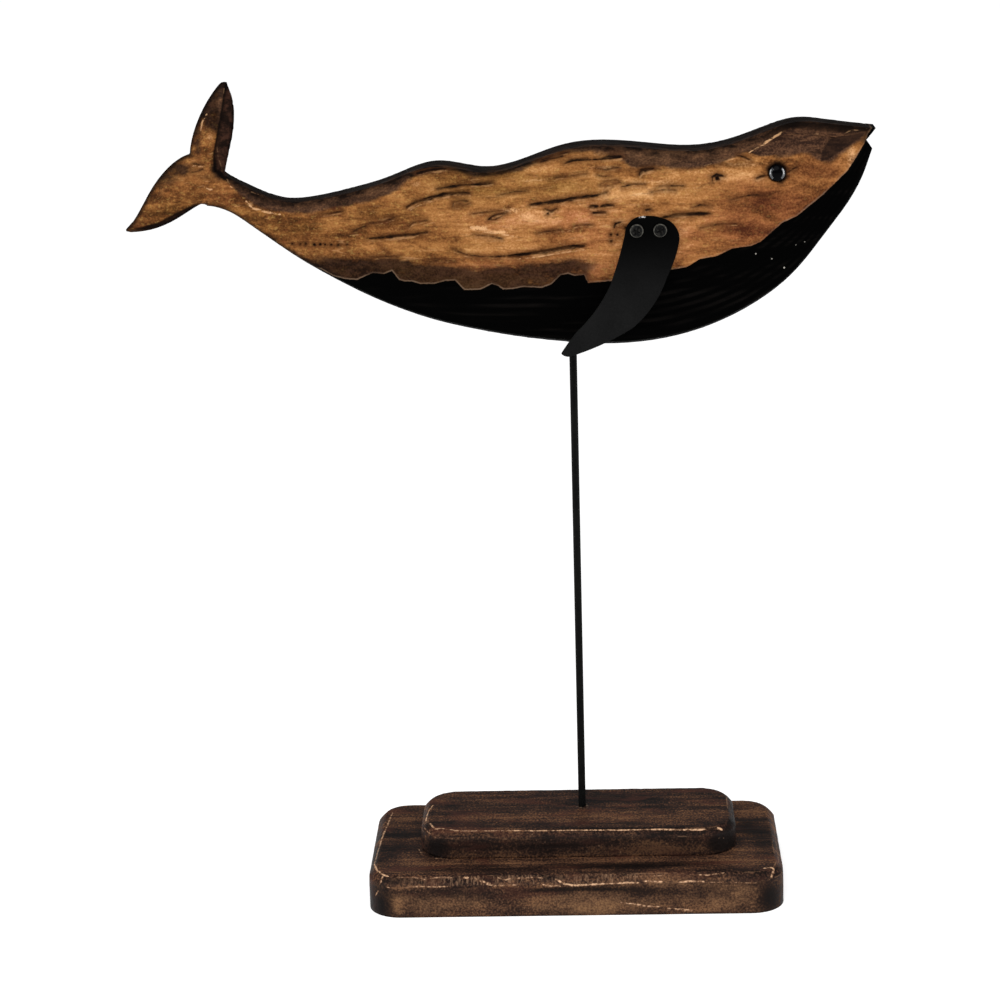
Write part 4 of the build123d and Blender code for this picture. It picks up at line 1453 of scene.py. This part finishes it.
# A flipper screw in millimetres: its shank and point, the height of its head and of the head's rim
SHANK_RADIUS = 1.45
SCREW_POINT = [(0.5, 0.0), (1.2, 0.9), (SHANK_RADIUS, 1.2)]
SCREW_SIDES = 56
SCREW_ROWS = 9
SCREW_HEAD = 1.9
SCREW_RIM = 0.55
SCREW_EDGE = 0.1
# Length, depth and width of each slot of the cross recess
SLOT = (3.5 * MM, 2.2 * MM, 0.75 * MM)
SHEET_EDGE = 0.32 * MM


def black_steel_material():
    """Satin black paint on steel, slightly dusty, with fine grain."""
    p = Paint("black_paint")
    cloud, grain = p.noise(60, 4, 0.6), p.noise(2200, 2, 0.6)
    p.tone = p.mix(p.band(cloud, 0.35, 0.65), (7, 7, 7), (14, 14, 13))
    p.coat((28, 28, 27), p.band(grain, 0.45, 0.62), 0.3)
    p.coat((44, 42, 40), p.band(p.noise((120, 400, 900), 3, 0.6), 0.62, 0.72), 0.12)
    p.bump(p.total((0.7, grain), (0.3, cloud)), 0.0002, 0.35)
    return p.finish(p.band(cloud, 0.3, 0.7, 0.42, 0.54), Specular_IOR_Level=0.03)


def flipper_paint_material():
    """Black paint, painted lighter grey towards the bent end where it catches light, with a painted glint on
    the top edge.
    """
    p = Paint("flipper_paint")
    low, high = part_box("right_flipper")
    wide, tall = high[0] - low[0], high[2] - low[2]
    x, z = p.along("X"), p.along("Z")
    cloud, grain = p.noise(60, 4, 0.6), p.noise(1600, 2, 0.6)
    # Painted highlight: lighter grey towards the bent end, where the bent part catches light from above
    bend_sheen = p.band(z, high[2] - 0.1 * tall, low[2] + 0.25 * tall)
    bend_sheen = p.times(bend_sheen, p.band(p.total((0.5, grain), (0.5, cloud)), 0.35, 0.65, 0.6, 1.0))
    p.tone = p.mix(bend_sheen, (2, 2, 2), (24, 24, 24))
    # Painted glint: a near-white spot on the top edge where it catches light
    spot = low[0] + GLINT_PLACE * wide
    wear_and_glint = p.times(
        p.between(x, spot - GLINT_HALF, spot + GLINT_HALF, GLINT_FADE),
        p.band(z, *(high[2] - depth for depth in GLINT_DEPTH)))
    p.coat((205, 200, 196), wear_and_glint, p.band(p.noise(1400, 2), 0.4, 0.55))
    p.bump(p.total((0.7, grain), (0.3, cloud)), 0.0002, 0.35)
    return p.finish(p.band(cloud, 0.3, 0.7, 0.44, 0.56), Specular_IOR_Level=0.02)


def black_screw_material():
    """Black oxide, with a grey ring painted on the rim of the head as a highlight."""
    p = Paint("black_screw")
    radius = p.value("radius")
    # Painted highlight: a grey ring on the head's rim, where the dome catches light
    wear_and_glint = p.times(
        p.band(radius, 2.6, 2.85), p.band(radius, 3.0, 3.15, 1.0, 0.0),
        p.band(p.noise(900, 3, 0.6), 0.36, 0.6, 0.25, 1.0))
    p.tone = p.mix(p.band(p.noise(800, 2, 0.6), 0.46, 0.6), (8, 8, 8), (36, 35, 32))
    p.coat((104, 102, 94), wear_and_glint, 0.85)
    p.bump(p.noise(1800, 2, 0.6), 0.0002, 0.4)
    return p.finish(p.band(wear_and_glint, 0.0, 1.0, 0.36, 0.44), Specular_IOR_Level=0.06)


def steel_screw_material():
    """Zinc-plated steel, a little cloudy."""
    p = Paint("zinc_screw")
    cloud = p.noise(500, 3, 0.6)
    p.tone = p.mix(cloud, (150, 148, 142), (196, 192, 180))
    p.bump(cloud, 0.0002, 0.3)
    return p.finish(p.band(cloud, 0.3, 0.7, 0.28, 0.42), Metallic=1.0)


def eye_material():
    """The dark middle of a gloss black bead."""
    p = Paint("eye_gloss")
    cloud = p.noise(700, 3, 0.6)
    p.tone = p.mix(cloud, (1, 1, 2), (5, 5, 6))
    return p.finish(p.band(cloud, 0.3, 0.7, 0.06, 0.1), Specular_IOR_Level=0.04)


def eye_highlight_material():
    """The bead's polished shoulder, with a lighter tone painted as a highlight where the side lamps reflect.
    """
    p = Paint("eye_painted_highlight")
    cloud = p.noise(900, 3, 0.6)
    p.tone = p.mix(p.band(cloud, 0.45, 0.7), (30, 31, 33), (62, 64, 67))
    return p.finish(p.band(cloud, 0.3, 0.7, 0.08, 0.12), Specular_IOR_Level=0.9)


def lathe(name, profile, centre, outward, sides):
    """A turned piece: rows of (radius, height) from its foot, along an outward direction on Y."""
    x, y, z = centre
    points, faces = [], []
    for radius, height in profile:
        for k in range(sides):
            turn = 2 * math.pi * k / sides
            points.append((x + radius * math.cos(turn), y + outward * height, z + radius * math.sin(turn)))

    def pairs(row):
        """Neighbouring points of a row, in the order that turns the faces outwards."""
        ring = [row * sides + k for k in range(sides)]
        ahead = ring[1:] + ring[:1]
        return list(zip(ring, ahead) if outward < 0 else zip(ahead, ring))

    last = len(profile) - 1
    for row in range(last):
        faces += [(a, b, b + sides, a + sides) for a, b in pairs(row)]
    hub = len(points)
    points += [(x, y + outward * profile[row][1], z) for row in (0, last)]
    faces += [(b, a, hub) for a, b in pairs(0)] + [(a, b, hub + 1) for a, b in pairs(last)]
    return make_object(name, points, faces)


def dome(radius, rim, height, rows):
    """Rows of a rounded top between its rim and its height."""
    angles = [math.pi / 2 * k / rows for k in range(1, rows)]
    return [(radius * math.cos(angle), rim + (height - rim) * math.sin(angle)) for angle in angles]


def eye_object(side, outward):
    """A glossy domed bead."""
    low, high = in_mm(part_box(f"{side}_eye"))
    x, _, z = (low + high) / 2
    foot = high[1] if outward < 0 else low[1]
    radius, height = (high[0] - low[0]) / 2, high[1] - low[1]
    profile = [(radius * 0.98, 0.0), (radius, 0.08), (radius, EYE_RIM)]
    profile += dome(radius, EYE_RIM, height, EYE_ROWS) + [(radius * 0.04, height)]
    eye = lathe(f"{side}_eye_bead", profile, (x, foot, z), outward, EYE_SIDES)
    eye.data.materials.append(EYE_GLOSS)
    eye.data.materials.append(EYE_HIGHLIGHT)
    # Faces left and right on the shoulder get the painted highlight
    for face in eye.data.polygons:
        beside = face.center.x / MM - x
        away = math.hypot(beside, face.center.z / MM - z)
        level = abs(beside) > EYE_HIGHLIGHT_BESIDE * away
        face.material_index = int(level and EYE_HIGHLIGHT_INNER * radius < away < EYE_HIGHLIGHT_OUTER * radius)
    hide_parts(f"{side}_eye")
    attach(eye, "whale")


def cross_object(place, turn):
    """Two crossed bars, the shape of the recess in a screw's head."""
    bars = bmesh.new()
    for k in range(2):
        bar = bmesh.ops.create_cube(bars, size=1.0)["verts"]
        bmesh.ops.scale(bars, vec=SLOT, verts=bar)
        spin = Matrix.Rotation(turn + k * math.pi / 2, 3, "Y")
        bmesh.ops.rotate(bars, cent=(0, 0, 0), matrix=spin, verts=bar)
    mesh = bpy.data.meshes.new("cross")
    bars.to_mesh(mesh)
    bars.free()
    cross = added("cross", mesh)
    cross.location = Vector(place) * MM
    return cross


def flipper_screw_object(side, end, outward, turn):
    """A round head with a cross recess on a shank."""
    node = f"{side}_flipper_{end}_screw"
    low, high = in_mm(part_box(node))
    x, _, z = (low + high) / 2
    tip = high[1] if outward < 0 else low[1]
    length, radius = high[1] - low[1], (high[0] - low[0]) / 2
    head = length - SCREW_HEAD
    profile = SCREW_POINT + [(SHANK_RADIUS, head), (radius * 0.97, head)]
    profile += [(radius, head + 0.12), (radius, head + SCREW_RIM)]
    profile += dome(radius, head + SCREW_RIM, length, SCREW_ROWS) + [(0.12, length)]
    screw = lathe(f"{side}_flipper_{end}_head", profile, (x, tip, z), outward, SCREW_SIDES)
    cut_away(screw, cross_object((x, tip + outward * length, z), turn), crossing=True)
    soft = screw.modifiers.new("edge", "BEVEL")
    soft.width = SCREW_EDGE * MM
    soft.segments = 2
    soft.limit_method = "ANGLE"
    soft.angle_limit = math.radians(40)
    applied(screw)
    screw.data.shade_smooth()
    points, _ = arrays(screw.data)
    set_values(screw, radius=np.hypot(points[:, 0] - x, points[:, 2] - z))
    screw.data.materials.clear()
    screw.data.materials.append(SCREW_BLACK)
    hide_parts(node)
    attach(screw, "whale")


def flipper_object(side):
    """The bent sheet with its cut edges eased."""
    sheet = make_object(f"{side}_flipper_sheet", *node_shell(f"{side}_flipper"))
    shape = bmesh.new()
    shape.from_mesh(sheet.data)
    bmesh.ops.dissolve_limit(shape, angle_limit=math.radians(1.0), verts=shape.verts, edges=shape.edges)
    sharp = [e for e in shape.edges if len(e.link_faces) == 2 and e.calc_face_angle(0) > math.radians(50)]
    bmesh.ops.bevel(
        shape, geom=sharp, offset=SHEET_EDGE, segments=3, profile=0.5, affect="EDGES", clamp_overlap=True)
    shape.to_mesh(sheet.data)
    shape.free()
    sheet.data.shade_smooth()
    weight = sheet.modifiers.new("flat", "WEIGHTED_NORMAL")
    weight.keep_sharp = False
    sheet.data.materials.append(FLIPPER_PAINT)
    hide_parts(f"{side}_flipper")
    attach(sheet, "whale")


# Stage

# The floor in metres: its corners, its grey, and how much lighter the camera and reflections see it
FLOOR = ((-14, -6, 0), (14, -6, 0), (14, 22, 0), (-14, 22, 0))
FLOOR_GREY = (0.8, 0.8, 0.8, 1)
FLOOR_GLOW = 0.56
WHITE = (1, 1, 1, 1)
WORLD_STRENGTH = 0.3
# The side lights, mirror images of each other: place of the right one, aim, size and watts
BOX_PLACE = (1.3, -0.55, 0.5)
BOX_AIM = (0.0, 0.0, 0.25)
BOX_SIZE = (0.5, 1.1)
BOX_WATTS = 11
# The wide light from above: strength, and its width and tilts in degrees
SUN_STRENGTH = 1.35
SUN_WIDTH = 50
SUN_TILT = 48
SUN_TURN = -8


def floor_material():
    """Plain pale grey that shows lighter to the camera and in reflections."""
    p = Paint("floor")
    path = p.add("ShaderNodeLightPath").outputs
    shown = p.math("MAXIMUM", path["Is Camera Ray"], path["Is Glossy Ray"])
    shown = p.math("MAXIMUM", shown, path["Is Transmission Ray"])
    plain = p.add("ShaderNodeBsdfDiffuse", {"Color": FLOOR_GREY})
    glow = p.add("ShaderNodeEmission", {"Color": WHITE, "Strength": p.times(shown, FLOOR_GLOW)})
    both = p.add("ShaderNodeAddShader", {0: plain.outputs[0], 1: glow.outputs[0]})
    p.feed(p.tree.nodes["Material Output"].inputs["Surface"], both.outputs[0])
    p.tree.nodes.remove(p.shader)
    return p.material


def add_floor():
    mesh = bpy.data.meshes.new("floor")
    mesh.from_pydata(FLOOR, [], [(0, 1, 2, 3)])
    mesh.materials.append(floor_material())
    floor = added("floor", mesh)


def add_softbox(name, side):
    """A tall light on the left (-1) or the right (1)."""
    data = bpy.data.lights.new(name, "AREA")
    data.shape = "RECTANGLE"
    data.size, data.size_y = BOX_SIZE
    data.energy = BOX_WATTS
    lamp = added(name, data)
    lamp.location = (side * BOX_PLACE[0], *BOX_PLACE[1:])
    lamp.rotation_euler = (Vector(BOX_AIM) - lamp.location).to_track_quat("-Z", "Y").to_euler()


def add_lights():
    world = bpy.data.worlds.new("studio")
    bpy.context.scene.world = world
    world.use_nodes = True
    background = world.node_tree.nodes["Background"]
    background.inputs["Color"].default_value = WHITE
    background.inputs["Strength"].default_value = WORLD_STRENGTH
    add_softbox("left_box", -1)
    add_softbox("right_box", 1)
    data = bpy.data.lights.new("overhead", "SUN")
    data.energy = SUN_STRENGTH
    data.angle = math.radians(SUN_WIDTH)
    lamp = added("overhead", data)
    lamp.rotation_euler = (math.radians(SUN_TILT), 0, math.radians(SUN_TURN))


# How far each screw's cross is turned, in radians
CROSS_TURNS = (("rear", 0.5), ("front", 1.1))

bpy.context.scene.view_settings.view_transform = "Standard"
FLIPPER_PAINT = flipper_paint_material()
SCREW_BLACK = black_screw_material()
EYE_GLOSS = eye_material()
EYE_HIGHLIGHT = eye_highlight_material()

add_camera()
add_floor()
add_lights()
whale_body_object()
rod_low, rod_high = in_mm(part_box("support_rod"))
rod_hole = ((rod_low + rod_high) / 2)[:2]
board_object(
    "plate_board", "base_plate", corner=16.0, bevel=3.7, voxel=1.4, seed=41, ticks=0.85, holes=[],
    rubs=PLATE_RUBS, glow=PLATE_GLOW, dusk=PLATE_DUSK)
board_object(
    "step_board", "base_step", corner=17.0, bevel=3.2, voxel=1.2, seed=51, ticks=0.12, holes=[rod_hole],
    rubs=STEP_RUBS, glow=STEP_GLOW, dusk=STEP_DUSK)
for side, outward in (("right", -1), ("left", 1)):
    flipper_object(side)
    eye_object(side, outward)
    for end, turn in CROSS_TURNS:
        flipper_screw_object(side, end, outward, turn)
steel_screw = steel_screw_material()
kept_nodes = {
    "support_rod": black_steel_material(), "rear_base_screw": steel_screw, "front_base_screw": steel_screw,
}
for node, material in kept_nodes.items():
    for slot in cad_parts[node].material_slots:
        slot.material = material
